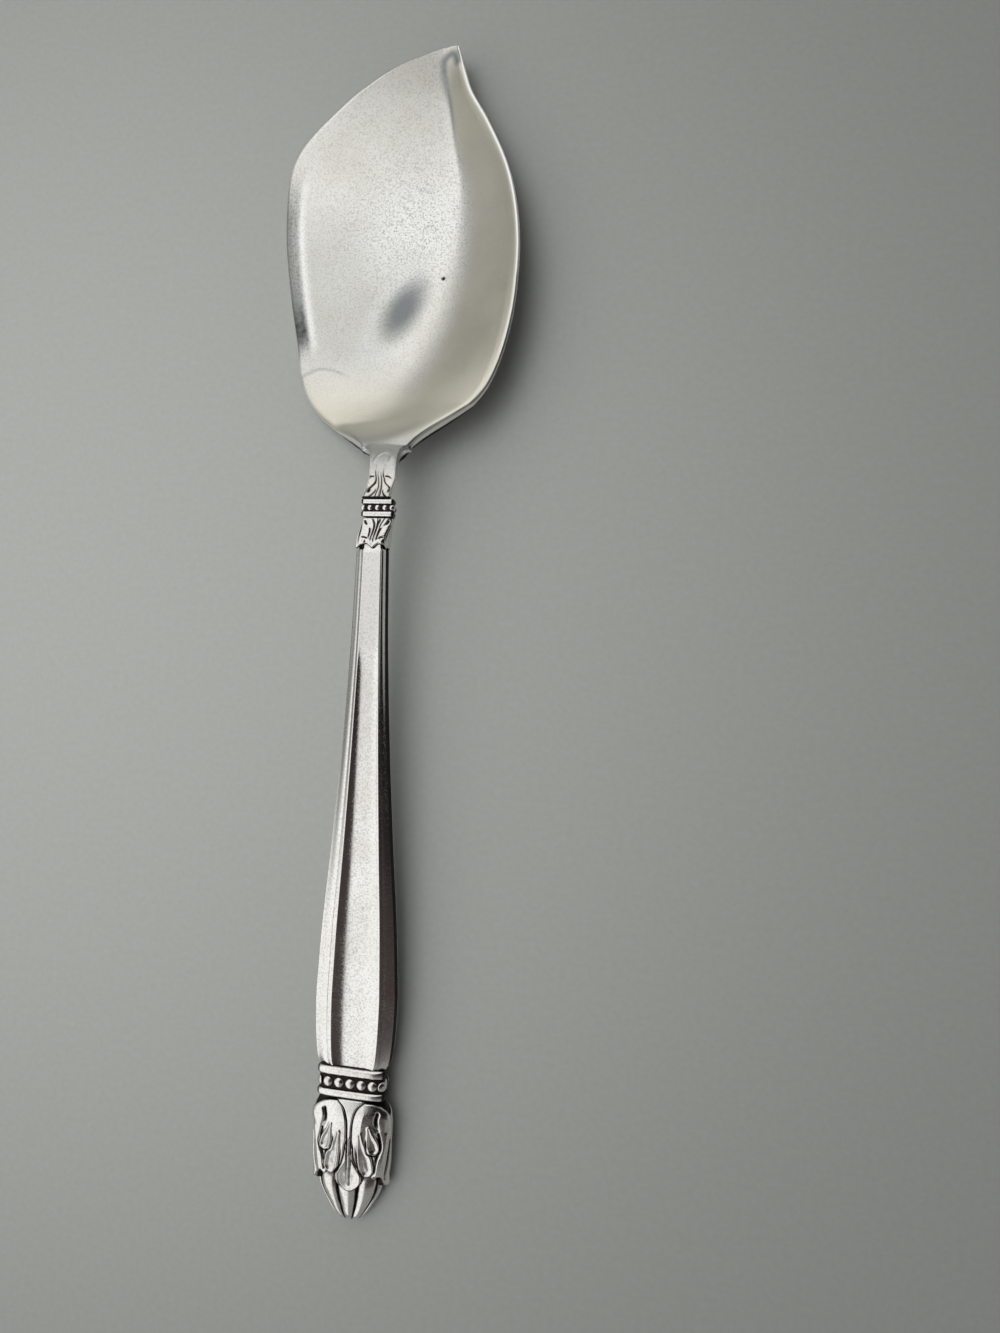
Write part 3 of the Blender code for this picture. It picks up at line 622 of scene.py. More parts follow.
def mark_bowl(plan, edges):
    """Height of the marks on the upper face, and masks from 0 to 1 for its finish, its painted highlights and
    its painted shade and reflections.
    """
    x, y = plan[:, :, 0], plan[:, :, 1]
    knee, valley, right = (edges[:, k, None] for k in (1, 2, 3))
    share = (y - heel_place) / bowl_length
    # The crease and the fold are pressed in, and are also painted darker as shade along them
    crease = pressed_line(plan, wall_crease, crease_half_width, 0.4)
    fold = pressed_line(plan, heel_fold, fold_half_width, 0.6)
    pit = np.exp(-(np.hypot(x - pit_place[0], y - pit_place[1]) / pit_radius) ** 4)
    # A painted dark reflection on the floor, ringed by a painted highlight (the halo)
    turn = math.radians(dark_reflection_turn)
    off_x, off_y = x - dark_reflection_place[0], y - dark_reflection_place[1]
    along = (off_x * math.cos(turn) + off_y * math.sin(turn)) / dark_reflection_half_length
    aside = (off_y * math.cos(turn) - off_x * math.sin(turn)) / dark_reflection_half_width
    off = np.hypot(along, aside)
    highlight_halo = np.exp(-((off - 1.2) / 0.28) ** 2) * np.maximum(eased(aside, 0, 0.9), eased(-along, 0.2, 0.9))
    worn = np.exp(-(np.hypot(x - worn_place[0], y - worn_place[1]) / worn_reach) ** 2)
    heel = (1 - eased(share, 0.10, 0.26)) * eased(share, -0.02, 0.05)
    dark_reflection = 1 - eased(off, 0.2, 1.25)
    wall = eased((x - valley) / (right - valley), 0.02, 0.35) * eased(share, -0.02, 0.05)
    throat = eased(share, -0.11, -0.03) * (1 - eased(share, 0.0, 0.08))
    # The left lip is painted darker as a dark reflection, and a painted highlight runs along the knee beside
    # it
    lip = (1 - eased(x - knee, -0.35 * knee_inset, 0.0)) * flowing(lip_roll)(share)
    ridge = np.exp(-((x - knee) / (0.22 * knee_inset)) ** 2) * flowing(lip_roll)(share)
    # Greyer left of the valley, over the middle of the bowl
    greyer_left_floor = eased(valley - x, 2.0, 8.0) * eased(share, 0.12, 0.3) * (1 - eased(share, 0.5, 0.7))
    greyer_left_floor *= (1 - ridge) * (1 - worn)
    # Warmer at the heel, and on the wall a painted warm reflection of the table
    warm_heel_and_table_reflection = np.maximum(heel, wall)
    masks = {
        "recess": np.maximum(pit, 0.5 * lip * (1 - eased(share, 0.33, 0.5))),
        # Greyer where painted shade and dark reflections lie (dark spot, crease, fold, lip, wall near the
        # tip), and plainly greyer at the throat and left of the valley
        "greying_and_painted_shade": np.maximum.reduce((dark_reflection, crease, 0.5 * fold, 0.45 * throat,
                                    lip * (0.55 + 0.4 * (1 - eased(share, 0.3, 0.5))),
                                    0.3 * wall * eased(share, 0.86, 0.96), 0.26 * greyer_left_floor)),
        "rubbed_and_highlight": np.maximum(np.maximum(worn, ridge), 0.55 * highlight_halo) * (1 - lip),
        "specks": np.clip(0.28 + 0.4 * worn + 0.6 * lip + 0.3 * dark_reflection, 0, 1) * (1 - 0.8 * warm_heel_and_table_reflection),
        "warm": warm_heel_and_table_reflection,
    }
    return -crease_depth * crease - fold_depth * fold - pit_depth * pit, masks


def pressed_line(plan, given, half_width, fade_from):
    """How deep in a pressed line each point of the plan lies, from 0 to 1. The line thins and fades."""
    gap, share = line_gap(plan.reshape(-1, 2), given)
    depth = np.exp(-(gap / half_width / (1 - 0.5 * share)) ** 2) * (1 - eased(share, fade_from, 1))
    return depth.reshape(plan.shape[:2])


def edge_round(up, down, end, swell, turns):
    """Points of a flattened half round over the sheet's edge, from its top to its bottom."""
    inner = -2 if end == -1 else 1
    middle = (up[end] + down[end]) / 2
    rise = (up[end] - down[end]) / 2
    outward = middle - (up[inner] + down[inner]) / 2
    outward *= swell / np.linalg.norm(outward)
    return np.array([middle + rise * math.cos(turn) + outward * math.sin(turn) for turn in turns])


# Rings

def bore(width, thickness, count):
    return oval(width + 2 * bore_clearance, thickness + 2 * bore_clearance, count, bore_squareness)


def make_ring(node, top, length, width, depth, squareness, hole, material):
    """A plain ring with rounded edges, tarnished along its edges, with painted shade at its two ends."""
    count = 200
    rim = tapered(oval(width, depth, count, squareness), ring_taper)
    bottom = top - length + solder_gap
    round_off = 0.34 * length
    turns = np.linspace(1, -1, 17)
    loops = []
    for turn in turns:
        inset = round_off * (1 - (1 - abs(turn) ** 3) ** (1 / 2))
        loops.append(at(grown(rim, -inset), (top + bottom) / 2 + turn * (top - bottom) / 2))
    inner = bore(*hole, count)
    loops += [at(inner, bottom), at(inner, top)]
    edges = np.concatenate((np.abs(turns) ** 6, (1, 1)))
    # Painted shade where the ring turns away at its two ends
    shaded_ends = 0.8 * eased(np.abs(np.array(loops)[:, :, 0]), 0.44 * width, 0.49 * width)
    make_sleeve(node, loops, "bright_plate", material, np.maximum(edges[:, None], shaded_ends))


def bead(centre, outward, radius, height, count=24):
    """Points of one low round bead, ring by ring between its two poles, and how far out each one stands."""
    rings = count // 2
    side = np.array((outward[2], 0, -outward[0]))
    along = np.array((0, 1, 0))
    turn = np.arange(count) / count * 2 * math.pi
    points = []
    for tilt in np.linspace(0, math.pi, rings + 1)[1:-1]:
        around = np.outer(np.cos(turn), side) + np.outer(np.sin(turn), along)
        points.append(centre + math.cos(tilt) * height * outward + math.sin(tilt) * radius * around)
    points.append(centre + np.array((1, -1))[:, None] * height * outward)
    points = np.concatenate(points)
    return points, closed_faces(count, rings - 1), (points - centre) @ outward / height


def make_bead_ring(node, top, length, width, depth, squareness, beads, hole, material):
    """A sunk dark band with low round beads sitting in it, one of them on the front middle line."""
    steps = 24
    count = steps * beads
    bottom = top - length + solder_gap
    middle = (top + bottom) / 2
    rim = tapered(oval(width, depth, count, squareness), ring_taper)
    spacing = np.linalg.norm(rim - np.roll(rim, 1, axis=0), axis=1).sum() / beads
    radius = min(0.44 * spacing, 0.42 * (top - bottom))
    height = 0.4 * radius
    band = grown(rim, -1.1 * height)
    inner = bore(*hole, count)
    loops = [at(band, top), at(band, middle), at(band, bottom), at(inner, bottom), at(inner, top)]
    points, faces = [np.concatenate(loops)], band_faces(count, len(loops), closed_rows=True)
    recess = [np.ones(len(points[0]))]
    start = len(points[0])
    seats = grown(rim, -height)
    for i in range(count // 4 % steps, count, steps):
        centre = np.array((seats[i, 0], middle, seats[i, 1]))
        outward = np.array((rim[i, 0] - seats[i, 0], 0, rim[i, 1] - seats[i, 1])) / height
        ball, ball_faces, stand = bead(centre, outward, radius, height)
        points.append(ball)
        faces += [tuple(start + k for k in face) for face in ball_faces]
        recess.append(1 - eased(stand, -0.2, 0.45))
        start += len(ball)
    make_piece(node, on_handle(np.concatenate(points)), faces, "darkened_plate", material, sharp=60,
               recess=np.concatenate(recess))


# Handle sizes along its length, and the ferrule that laps over it

def handle_half_width(y):
    drop = 1 - np.sqrt(np.clip(1 - ((widest_place - y) / handle_end_round) ** 2, 0, 1))
    below = handle_width - (handle_width - handle_end_width) * drop
    growth = flowing(handle_flare)((shell_top - y) / (shell_top - widest_place))
    above = handle_neck_width + (handle_width - handle_neck_width) * growth
    return np.where(y < widest_place, below, above) / 2


def handle_half_depth(y):
    share = (shell_top - y) / handle_length
    return (handle_neck_depth + (handle_depth - handle_neck_depth) * share) / 2


def skirt_oval(y, gap, count):
    """Oval over the handle's seat at one place, standing off by a gap."""
    width = 2 * (handle_half_width(y) - handle_seat_step + gap)
    depth = 2 * (handle_half_depth(y) - handle_seat_step + gap)
    return oval(width, depth, count, ferrule_squareness)


def make_ferrule(material):
    """A collar whose leaf-pointed skirt laps over the handle's top, with a fan of leaf stems in relief."""
    count, rows = 288, 64
    top, hem_place = ferrule_collar_rise - solder_gap, shell_top - ferrule_leaf_length
    skirt_gap = solder_gap + ferrule_skirt_wall
    width, depth = neck_ring_width - 2 * ferrule_inset, neck_ring_depth - 2 * ferrule_inset
    collar = tapered(oval(width, depth, count, ferrule_squareness), ring_taper)
    waist = grown(collar, 0.6 * ferrule_inset)
    stops = np.array((0, 0.45, 1, 1 + ferrule_leaf_length / ferrule_body_length))
    skirt = [skirt_oval(y, skirt_gap, count) for y in (shell_top, hem_place)]
    forms = np.array((collar, waist, *skirt))
    leaf_edge = top - flowing(ferrule_hem)(round_from_middle(forms[2], ferrule_lean))
    loops, recess = [], []
    for share in np.linspace(0, 1, rows):
        y = top + (leaf_edge - top) * share
        level = np.clip(y / shell_top, 0, stops[-1])
        outline = [[np.interp(level[i], stops, forms[:, i, k]) for k in (0, 1)] for i in range(count)]
        outline = np.array(outline)
        height, depth = carve(round_from_middle(outline, ferrule_lean * share), top - y, ferrule_strokes)
        # The hem's rolled edge is painted dark, as shade under the leaf points
        edge = eased(share, 0.94, 1.0)
        loops.append(at(grown(outline, (height - 0.02) * (1 - edge) - 0.12 * edge), y))
        recess.append(np.maximum(depth, np.maximum(0.9 * edge, 1 - eased(share, 0.0, 0.05))))
    inside = [at(skirt_oval(hem_place, solder_gap, count), leaf_edge),
              at(skirt_oval(shell_top, solder_gap, count), shell_top + solder_gap)]
    hole = bore(tang_width, tang_thickness, count)
    inside += [at(hole, shell_top + solder_gap), at(hole, top)]
    recess += [np.ones(count)] * len(inside)
    make_sleeve("leaf_ferrule", loops + inside, "darkened_plate", material, recess)


# Handle

def filleted(corners, radii, steps=5):
    """A line through corners, each rounded off with a short curve over the given length of its sides."""
    corners = np.array(corners, float)
    line = [corners[0]]
    for before, corner, after, radius in zip(corners[:-2], corners[1:-1], corners[2:], radii):
        to_before, to_after = before - corner, after - corner
        a = corner + to_before * min(0.48, radius / np.linalg.norm(to_before))
        b = corner + to_after * min(0.48, radius / np.linalg.norm(to_after))
        for t in np.linspace(0, 1, steps):
            line.append((1 - t) ** 2 * a + 2 * t * (1 - t) * corner + t * t * b)
    line.append(corners[-1])
    return np.array(line)


def shell_outline(y, dished):
    """Outside of one handle half from its left seam over the panel to its right seam, as (x, z)."""
    share = (shell_top - y) / handle_length
    shift = panel_neck_shift + (front_shift - panel_neck_shift) * share
    left, right = (shell_side(y, dished, side * shift) for side in (-1, 1))
    return np.concatenate((left * (-1, 1), right[::-1]))


def shell_side(y, dished, shift):
    """Right side of a handle half, from its seam over the edge bead and the ridge to the panel's middle."""
    step = handle_seat_step * (1 - eased(shell_top - ferrule_leaf_length - y, 0.0, 0.25))
    half_width = float(handle_half_width(y)) - step
    crest = handle_half_depth(y) - step
    share = (shell_top - y) / handle_length
    panel = half_width * (panel_neck_share + (panel_end_share - panel_neck_share) * share)
    dish = panel_dish * panel * dished * flowing(dish_growth)(share)
    edge = edge_share * crest
    foot = np.array((0.985 * half_width, 0.9 * edge))
    ridge = np.array((panel + 0.03 * half_width + shift, crest))
    slope = ridge - foot
    outward = np.array((slope[1], -slope[0])) / np.linalg.norm(slope)
    groove = foot + edge_bead_share * slope - edge_groove_sink * outward
    border = [foot + t * (groove - foot) + 6.75 * t * t * (1 - t) * edge_bead_rise * outward
              for t in np.linspace(0, 1, edge_bead_points)]
    past_groove = groove + 0.15 * (ridge - groove)
    corners = [past_groove, ridge, (0.95 * panel + shift, crest - dish * (1 - 0.95 ** 5))]
    seam = (half_width - 0.4 * edge, solder_gap / 2)
    inside = [(panel * t + shift, crest - dish * (1 - t ** 5)) for t in np.linspace(0.92, 0.04, 18)]
    under_foot = foot - (0.02, 0.06)
    line = np.concatenate(([seam, under_foot], border, filleted(corners, (ridge_round,)), inside))
    line[:, 0] = np.minimum(line[:, 0], half_width)
    return line


def shell_lining(y):
    """Inside of one handle half, as (x, z)."""
    outline = shell_outline(y, 1)
    half_width = outline[:, 0].max() - handle_wall
    floor = outline[len(outline) // 2][1] - handle_wall
    shoulder = 0.55 * half_width
    right = np.array([(half_width, solder_gap / 2), (half_width, 0.5 * floor), (shoulder, floor)])
    return np.concatenate((right * (-1, 1), right[::-1]))


def make_shell(node, side, dished, material):
    """One stamped half of the handle: the front one is dished, the back one nearly plain."""
    seat_end = shell_top - ferrule_leaf_length
    places = np.concatenate((np.linspace(shell_top, seat_end - 0.3, 14)[:-1],
                             np.linspace(seat_end - 0.3, shell_end, 150)))
    loops = []
    for y in places:
        section = np.concatenate((shell_outline(y, dished), shell_lining(y)[::-1]))
        loops.append(at(section * (1, side), y))
    count = len(loops[0])
    points = np.concatenate(loops)
    recess = np.zeros(count)
    outside = len(shell_outline(shell_end, dished))
    seam = 2
    groove = seam + edge_bead_points - 1
    recess[[groove, outside - 1 - groove]] = 0.6
    recess[:seam] = 1
    recess[outside - seam:] = 1
    faces = band_faces(count, len(loops))
    for start in (0, count * (len(loops) - 1)):
        faces.append(tuple(range(start, start + count)))
    if side > 0:
        faces = [face[::-1] for face in faces]
    make_piece(node, on_handle(points), faces, "bright_plate", material, sharp=50,
               recess=np.tile(recess, len(loops)))


# Finial

def finial_swell(y, law):
    return flowing(law)((calyx_top - y) / (calyx_top - bud_end))


def finial_oval(y, count, off=0.0):
    """The finial's outline at a place, or with a place for each point, moved outwards by a distance."""
    widest = oval(calyx_width, calyx_depth, count, finial_squareness)
    across, through = finial_swell(y, finial_width_swell), finial_swell(y, finial_depth_swell)
    return grown(widest * np.stack((across, through), axis=-1), off)


def make_calyx(material):
    """A cup of leaves over the bud: two side leaves of looped lobes, with a ribbed tongue between them."""
    count, rows = 480, 190
    rim = oval(calyx_width, calyx_depth, count, finial_squareness)
    distance = round_from_middle(rim, front_shift)
    leaf_edge = calyx_top - flowing(calyx_hem)(distance)
    roll = 0.11 + 0.06 * np.sign(rim[:, 0])
    top = calyx_top - solder_gap
    loops, recess = [], []
    for share in np.linspace(0, 1, rows):
        y = top + (leaf_edge - top) * share
        down = calyx_top - y
        height, depth = carve(distance, down, calyx_strokes)
        past_stem = distance - flowing(calyx_inner_edge)(down)
        into_leaf = np.minimum(past_stem, down - flowing(calyx_shoulder)(distance))
        leaf = 0.10 * eased(into_leaf, -0.1, 0.12) + roll * np.clip(into_leaf / 1.2, 0, 1)
        seam = np.exp(-((into_leaf + 0.08) / 0.11) ** 2)
        above = eased(past_stem, -0.1, 0.0) * eased(-into_leaf, 0.0, 0.2)
        above = np.maximum(above, 1 - eased(down, 0.1, 0.3))
        hem = eased(share, 0.975, 1.0)
        flare = 0.3 * eased(down, 9.8, 11.4) * eased(distance, 4.8, 6.0)
        flare += 0.3 * np.exp(-((down - 2.6) / 1.5) ** 2) * eased(distance, 4.0, 5.5) * (rim[:, 0] < 0)
        out = height + leaf + flare - calyx_ground_sink - calyx_seam_depth * seam - calyx_gap_depth * above
        out = np.maximum(out, -calyx_wall) * (1 - hem) - calyx_hem_roll * hem - calyx_inset
        loops.append(at(finial_oval(y, count, out), y))
        # The rolled hem is painted dark, as shade under the leaf tips
        recess.append(np.maximum(np.maximum(depth, 0.95 * seam), np.maximum(0.8 * hem, above)))
    cup_floor = bud_top + solder_gap
    inside = []
    for share in (1.0, 0.7, 0.4, 0.0):
        y = cup_floor + (leaf_edge - cup_floor) * share
        inside.append(at(finial_oval(y, count, -calyx_wall - calyx_leaf_relief), y))
    hole = bore(stem_width, stem_thickness, count)
    inside += [at(hole, cup_floor), at(hole, top)]
    recess += [np.ones(count)] * len(inside)
    make_sleeve("finial_calyx", loops + inside, "darkened_plate", material, recess)


def make_bud(material):
    """A flattened bud with rounded lobes and dark grooves between them."""
    points_per_lobe, rows = 36, 110
    count = bud_lobes * points_per_lobe
    turn = np.arange(count) / count * 2 * math.pi
    lobe = np.abs(np.cos(bud_lobes / 2 * (turn - math.pi / 2))) ** 0.5
    in_cup = calyx_wall + calyx_leaf_relief + cup_clearance
    loops, recess = [], []
    for y in np.linspace(bud_top, bud_end, rows):
        out = (calyx_end - y) / bud_stand_out
        depth = bud_lobe_relief * min(1, 3 * (1 - max(out, 0)) + 0.2)
        inset = bud_inset + (in_cup - bud_inset) * (1 - eased(out, -0.3, 0.35))
        inset *= 1 - 0.6 * eased(out, 0.6, 1.0)
        loops.append(at(grown(finial_oval(y, count, -inset), depth * (lobe - 1)), y))
        shaded = 1 - eased(out, -0.05, 0.12)
        recess.append(np.maximum(1 - eased(lobe, 0.35, 0.8), 0.6 * shaded))
    points = np.concatenate(loops + [(loops[0].mean(axis=0), loops[-1].mean(axis=0))])
    make_piece("finial_bud", on_handle(points), closed_faces(count, rows), "darkened_plate", material,
               recess=np.concatenate(recess + [(1, 1)]))


# Shader nodes

def put(tree, kind, inputs=None, **settings):
    """Adds a node. An input is a value, or a socket that is linked to it."""
    node = tree.nodes.new(kind)
    for name, value in settings.items():
        setattr(node, name, value)
    for name, value in (inputs or {}).items():
        if isinstance(value, bpy.types.NodeSocket):
            tree.links.new(value, node.inputs[name])
        else:
            node.inputs[name].default_value = value
    return node


def spread(tree, value, low, high, to_low=0.0, to_high=1.0):
    """Carries a value from one range to another, smoothly and without going past the ends."""
    inputs = {"Value": value, "From Min": low, "From Max": high, "To Min": to_low, "To Max": to_high}
    return put(tree, "ShaderNodeMapRange", inputs, interpolation_type="SMOOTHSTEP").outputs["Result"]


def maths(tree, operation, first, second):
    return put(tree, "ShaderNodeMath", {0: first, 1: second}, operation=operation).outputs[0]


def tint(tree, mask, first, second):
    """Goes from the first colour to the second as the mask goes from 0 to 1."""
    node = put(tree, "ShaderNodeMix", data_type="RGBA")
    for socket, value in ((node.inputs[0], mask), (node.inputs[6], first), (node.inputs[7], second)):
        if isinstance(value, bpy.types.NodeSocket):
            tree.links.new(value, socket)
        else:
            socket.default_value = value
    return node.outputs[2]


def noise(tree, vector, scale, detail=2.0, roughness=0.5):
    inputs = {"Vector": vector, "Scale": scale, "Detail": detail, "Roughness": roughness}
    return put(tree, "ShaderNodeTexNoise", inputs).outputs["Fac"]


def new_group(name, inputs, outputs):
    """An empty node group with named value sockets, and its inner ends."""
    group = bpy.data.node_groups.new(name, "ShaderNodeTree")
    for socket, kind in inputs:
        group.interface.new_socket(socket, in_out="INPUT", socket_type=kind)
    for socket, kind in outputs:
        group.interface.new_socket(socket, in_out="OUTPUT", socket_type=kind)
    return group, group.nodes.new("NodeGroupInput").outputs, group.nodes.new("NodeGroupOutput").inputs


def make_wear_group():
    """Fine pits, hair scratches and slow smudges in old plate: a mask each, and one height for the bump."""
    outputs = [(name, "NodeSocketFloat") for name in ("Pits", "Scratches", "Smudge", "Height")]
    group, given, result = new_group("plate wear", [("Vector", "NodeSocketVector")], outputs)
    point = given["Vector"]
    grains = noise(group, point, 3600.0, 3.0, 0.65)
    pits = spread(group, grains, 0.44, 0.68)
    scratches = None
    for angle, stretch in ((0.35, 9.0), (-0.5, 12.0), (1.35, 10.0)):
        turned = put(group, "ShaderNodeMapping", {"Vector": point, "Rotation": (0, 0, angle)})
        turned.inputs["Scale"].default_value = (1600.0, 1600.0 / stretch / 4, 400.0)
        line = spread(group, noise(group, turned.outputs[0], 1.0, 1.0, 0.4), 0.66, 0.76)
        scratches = line if scratches is None else maths(group, "MAXIMUM", scratches, line)
    smudge = spread(group, noise(group, point, 150.0, 4.0, 0.6), 0.36, 0.68)
    cuts = maths(group, "MULTIPLY", scratches, 0.08)
    cuts = maths(group, "ADD", maths(group, "MULTIPLY", pits, 0.35), cuts)
    height = maths(group, "SUBTRACT", maths(group, "MULTIPLY", grains, 0.5), cuts)
    for name, socket in (("Pits", pits), ("Scratches", scratches), ("Smudge", smudge), ("Height", height)):
        group.links.new(socket, result[name])
    return group


def make_tarnish_and_shade_group():
    """Where dark tarnish and painted shade lie: in the recesses of the ornament and where shade is painted,
    with a ragged edge.
    """
    value = "NodeSocketFloat"
    group, given, result = new_group("recess tarnish", [("Vector", "NodeSocketVector"), ("Tarnish and shade", value)],
                                     [("Mask", value)])
    ragged = maths(group, "SUBTRACT", noise(group, given["Vector"], 1400.0), 0.5)
    ragged = maths(group, "MULTIPLY", ragged, 0.5)
    mask = spread(group, maths(group, "ADD", given["Tarnish and shade"], ragged), 0.22, 0.8)
    group.links.new(mask, result["Mask"])
    return group


# Finishes

# Colours for the masks: dark tarnish that also serves as painted shade, a grey for painted shade and dark
# reflections, dull metal in pits, and rubbed metal that also serves as painted highlight
tarnish_and_shade_dark = (0.035, 0.028, 0.026, 1)
greying_and_shade_grey = (0.24, 0.26, 0.27, 1)
dull_metal = (0.25, 0.245, 0.24, 1)
rubbed_and_highlight_metal = (0.97, 0.97, 0.96, 1)


def new_material(name, roughness=0.5):
    """A material, with its node tree, its shader and the object's own coordinates."""
    material = bpy.data.materials.new(name)
    material.use_nodes = True
    tree = material.node_tree
    shader = tree.nodes["Principled BSDF"]
    shader.inputs["Roughness"].default_value = roughness
    return material, tree, shader, put(tree, "ShaderNodeTexCoord").outputs["Object"]


def roughen(tree, shader, height, strength, distance):
    relief = put(tree, "ShaderNodeBump", {"Height": height, "Strength": strength, "Distance": distance})
    tree.links.new(relief.outputs["Normal"], shader.inputs["Normal"])


def make_plate(name, groups, silver, warm, blur, pitting, warmth, bump):
    """Silver plate: blur is the roughness of clean metal, pitting and warmth how worn and stained it is."""
    material, tree, shader, point = new_material(name)
    shader.inputs["Metallic"].default_value = 1.0
    wear = put(tree, "ShaderNodeGroup", node_tree=groups["wear"])
    tree.links.new(point, wear.inputs["Vector"])
    masks = {}
    for mask in ("recess", "greying_and_painted_shade", "rubbed_and_highlight", "specks", "warm"):
        masks[mask] = put(tree, "ShaderNodeAttribute", attribute_name=mask).outputs["Fac"]
    tarnish_and_shade_group = put(tree, "ShaderNodeGroup", node_tree=groups["tarnish_and_shade_group"])
    tree.links.new(point, tarnish_and_shade_group.inputs["Vector"])
    tree.links.new(masks["recess"], tarnish_and_shade_group.inputs["Tarnish and shade"])

    # Besides real wear and tarnish, the masks carry painted highlights, painted shade and painted reflections
    warmed = maths(tree, "MAXIMUM", masks["warm"], maths(tree, "MULTIPLY", wear.outputs["Smudge"], warmth))
    colour = tint(tree, warmed, silver, warm)
    colour = tint(tree, masks["rubbed_and_highlight"], colour, rubbed_and_highlight_metal)
    colour = tint(tree, masks["greying_and_painted_shade"], colour, greying_and_shade_grey)
    specked = maths(tree, "MULTIPLY", wear.outputs["Pits"], maths(tree, "ADD", masks["specks"], pitting))
    colour = tint(tree, specked, colour, dull_metal)
    colour = tint(tree, tarnish_and_shade_group.outputs["Mask"], colour, tarnish_and_shade_dark)
    rough = maths(tree, "ADD", maths(tree, "MULTIPLY", wear.outputs["Smudge"], 0.06), blur)
    rough = maths(tree, "ADD", rough, maths(tree, "MULTIPLY", wear.outputs["Pits"], 0.5 * pitting))
    rough = maths(tree, "ADD", rough, maths(tree, "MULTIPLY", tarnish_and_shade_group.outputs["Mask"], 0.3))
    tree.links.new(colour, shader.inputs["Base Color"])
    tree.links.new(rough, shader.inputs["Roughness"])
    roughen(tree, shader, wear.outputs["Height"], bump, 0.00006)
    return material


def make_cement(node):
    """Grainy cement for the solid inside the handle, which has no finer mesh."""
    material, tree, shader, point = new_material("handle cement", 0.9)
    grain = noise(tree, point, 1800.0, 4.0, 0.7)
    colour = tint(tree, grain, (0.24, 0.20, 0.15, 1), (0.40, 0.36, 0.29, 1))
    tree.links.new(colour, shader.inputs["Base Color"])
    roughen(tree, shader, grain, 0.6, 0.0001)
    node.data.materials.clear()
    node.data.materials.append(material)


# Stage, light and camera

def make_floor():
    """A pale grey card, a hair below the pieces that rest on it. Sizes are in metres."""
    reach, sink = 0.9, 0.00002
    mesh = bpy.data.meshes.new("floor")
    corners = [(x * reach, y * reach, -sink) for x, y in ((-1, -1), (1, -1), (1, 1), (-1, 1))]
    mesh.from_pydata(corners, [], [(0, 1, 2, 3)])
    material, tree, shader, point = new_material("pale grey card", 0.85)
    shader.inputs["Specular IOR Level"].default_value = 0.15
    grain = noise(tree, point, 1200.0, 3.0, 0.6)
    colour = tint(tree, grain, (0.30, 0.31, 0.295, 1), (0.35, 0.36, 0.345, 1))
    tree.links.new(colour, shader.inputs["Base Color"])
    mesh.materials.append(material)
    floor = bpy.data.objects.new("floor", mesh)
    bpy.context.scene.collection.objects.link(floor)


def make_world():
    """A pale room with a bright window to the left. Its right side is dark, but for its low corners and its
    two ends."""
    world = bpy.data.worlds.new("studio")
    bpy.context.scene.world = world
    world.use_nodes = True
    tree = world.node_tree
    direction = put(tree, "ShaderNodeTexCoord").outputs["Generated"]

    def towards(aim):
        aim = Vector(aim).normalized()
        node = put(tree, "ShaderNodeVectorMath", {0: direction, 1: tuple(aim)}, operation="DOT_PRODUCT")
        return node.outputs["Value"]

    window = spread(tree, towards((-0.8, -0.5, 0.3)), 0.58, 0.70)
    ahead = spread(tree, towards((0, 1, 0.25)), 0.15, 0.42)
    far_left = spread(tree, towards((-1, 0.35, 0)), 0.74, 0.88)
    above = towards((0, 0, 1))
    sky = tint(tree, ahead, (0.72, 0.72, 0.71, 1), (0.98, 0.98, 0.96, 1))
    sky = tint(tree, window, sky, (1.02, 1.02, 1.0, 1))
    sky = tint(tree, far_left, sky, (0.52, 0.52, 0.50, 1))
    sky = tint(tree, spread(tree, above, 0.06, 0.30), (0.18, 0.18, 0.168, 1), sky)

    brown = spread(tree, towards((0, -1, 0)), 0.12, 0.30)
    room = tint(tree, brown, (0.008, 0.008, 0.008, 1), (0.05, 0.038, 0.036, 1))
    endwise = maths(tree, "ABSOLUTE", towards((0, 1, 0)), 0.0)
    corners = maths(tree, "MULTIPLY", spread(tree, endwise, 0.18, 0.38), spread(tree, above, 0.52, 0.28))
    pale = maths(tree, "MAXIMUM", corners, spread(tree, endwise, 0.46, 0.62))
    room = tint(tree, pale, room, (0.26, 0.26, 0.25, 1))
    dark = maths(tree, "MULTIPLY", spread(tree, towards((1, -0.5, 0)), -0.15, -0.02),
                 spread(tree, towards((1, 0, 0)), -0.25, -0.15))
    sky = tint(tree, dark, sky, room)
    background = tree.nodes["Background"]
    tree.links.new(sky, background.inputs["Color"])
    background.inputs["Strength"].default_value = 1.0


def make_lamp():
    """A soft lamp over the left of the table. It lights the table but isn't mirrored in the metal."""
    data = bpy.data.lights.new("lamp", "AREA")
    data.shape = "DISK"
    data.size = 0.25
    data.energy = 0.12
    data.spread = math.radians(70)
    lamp = bpy.data.objects.new("lamp", data)
    lamp.location = (-0.070, 0.008, 0.20)
    lamp.visible_glossy = False
    lamp.visible_camera = False
    bpy.context.scene.collection.objects.link(lamp)


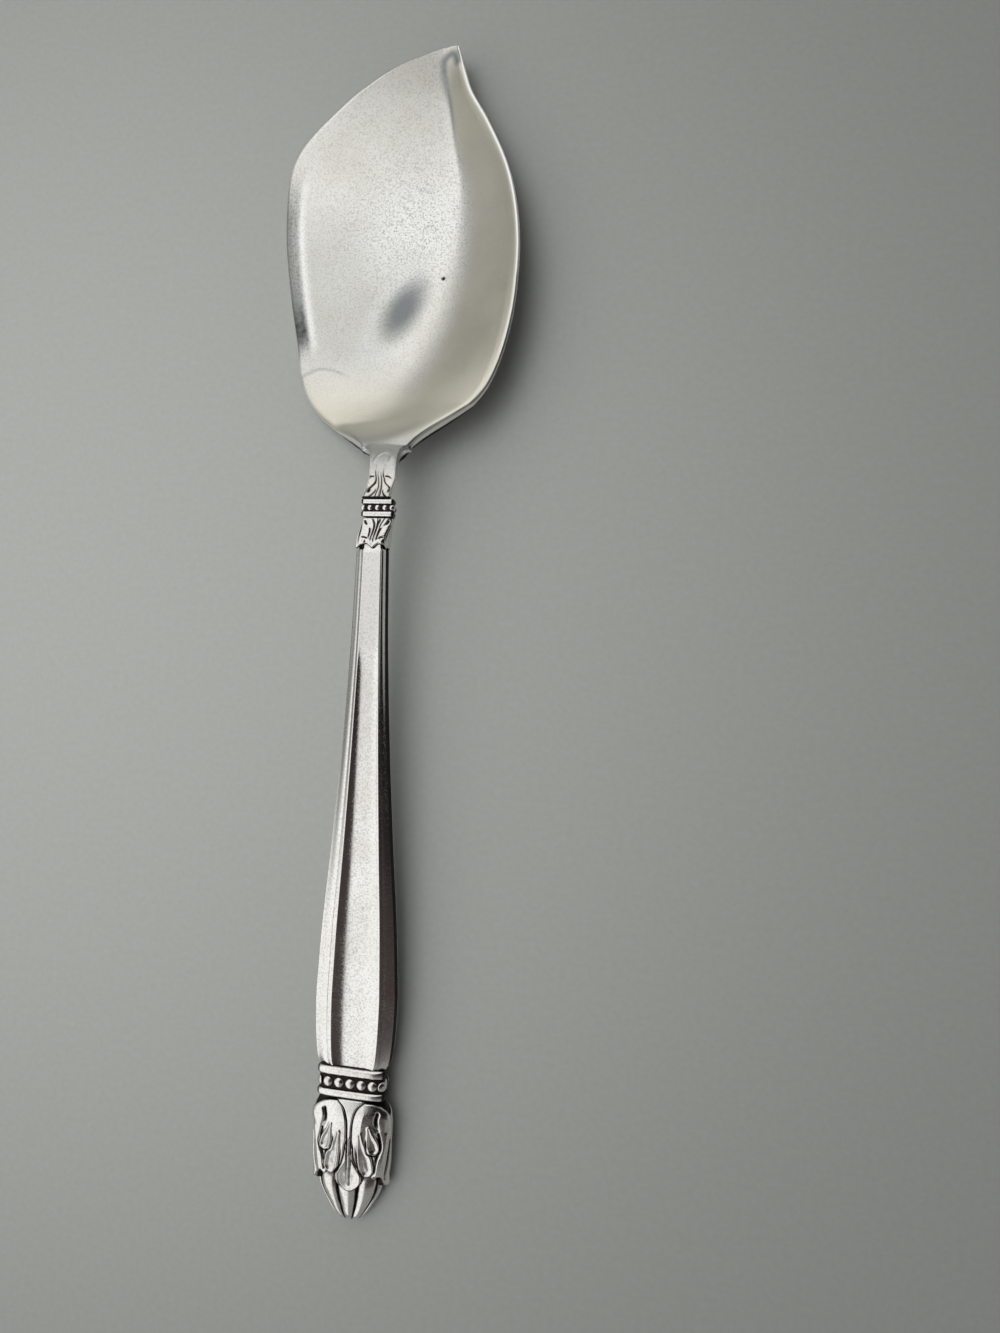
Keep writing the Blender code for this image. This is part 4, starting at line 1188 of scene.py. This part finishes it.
def make_camera():
    """The photograph's view: from over the handle and to its right, looking almost straight down."""
    picture = np.array((1000, 1333))
    joint_pixel = np.array((374, 520))
    joint_depth = 130.0
    focal_pixels = 1000.0
    back = Vector((math.tan(math.radians(12)), -math.tan(math.radians(4.2)), 1)).normalized()
    lean = math.radians(3.4)
    up = Vector((-math.sin(lean), math.cos(lean), 0))
    up = (up - back * up.dot(back)).normalized()
    right = up.cross(back)
    off = (joint_pixel - picture / 2) * joint_depth / focal_pixels
    place = Vector(joint_place) + back * joint_depth - right * off[0] + up * off[1]
    data = bpy.data.cameras.new("camera")
    data.sensor_width = 36
    data.lens = data.sensor_width * focal_pixels / picture[1]
    data.clip_start = 0.005
    camera = bpy.data.objects.new("camera", data)
    camera.matrix_world = Matrix.Translation(place * MM) @ Matrix((right, up, back)).transposed().to_4x4()
    bpy.context.scene.collection.objects.link(camera)
    bpy.context.scene.camera = camera


def build():
    groups = {"wear": make_wear_group(), "tarnish_and_shade_group": make_tarnish_and_shade_group()}
    worn = make_plate("worn plate", groups, silver=(0.86, 0.85, 0.82, 1), warm=(0.80, 0.77, 0.67, 1),
                      blur=0.29, pitting=0.0, warmth=0.3, bump=0.5)
    bright = make_plate("bright plate", groups, silver=(0.90, 0.89, 0.87, 1), warm=(0.80, 0.77, 0.71, 1),
                        blur=0.13, pitting=0.25, warmth=0.4, bump=0.15)
    dark = make_plate("darkened plate", groups, silver=(0.88, 0.87, 0.85, 1), warm=(0.76, 0.72, 0.66, 1),
                      blur=0.15, pitting=0.2, warmth=0.4, bump=0.15)
    tang, stem = (tang_width, tang_thickness), (stem_width, stem_thickness)
    neck_size = (neck_ring_width, neck_ring_depth, neck_ring_squareness)
    end_size = (end_ring_width, end_ring_depth, end_ring_squareness)
    make_bowl(worn)
    make_ring("neck_upper_ring", upper_ring_top, neck_upper_ring_length, *neck_size, tang, bright)
    make_bead_ring("neck_bead_ring", bead_ring_top, neck_bead_ring_length, *neck_size, neck_bead_count,
                   tang, dark)
    make_ring("neck_lower_ring", lower_ring_top, neck_lower_ring_length, *neck_size, tang, bright)
    make_ferrule(dark)
    make_shell("handle_front_shell", 1, 1.0, bright)
    make_shell("handle_back_shell", -1, back_dish_share, bright)
    make_cement(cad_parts["handle_filler"])
    make_ring("end_upper_ring", shell_end - solder_gap, end_upper_ring_length, *end_size, stem, bright)
    make_bead_ring("end_bead_ring", upper_band_end - solder_gap, end_bead_ring_length, *end_size,
                   end_bead_count, stem, dark)
    make_ring("end_lower_ring", bead_band_end - solder_gap, end_lower_ring_length, *end_size, stem, bright)
    make_calyx(dark)
    make_bud(dark)
    make_floor()
    make_world()
    make_lamp()
    make_camera()
    bpy.context.scene.view_settings.view_transform = "Standard"


build()
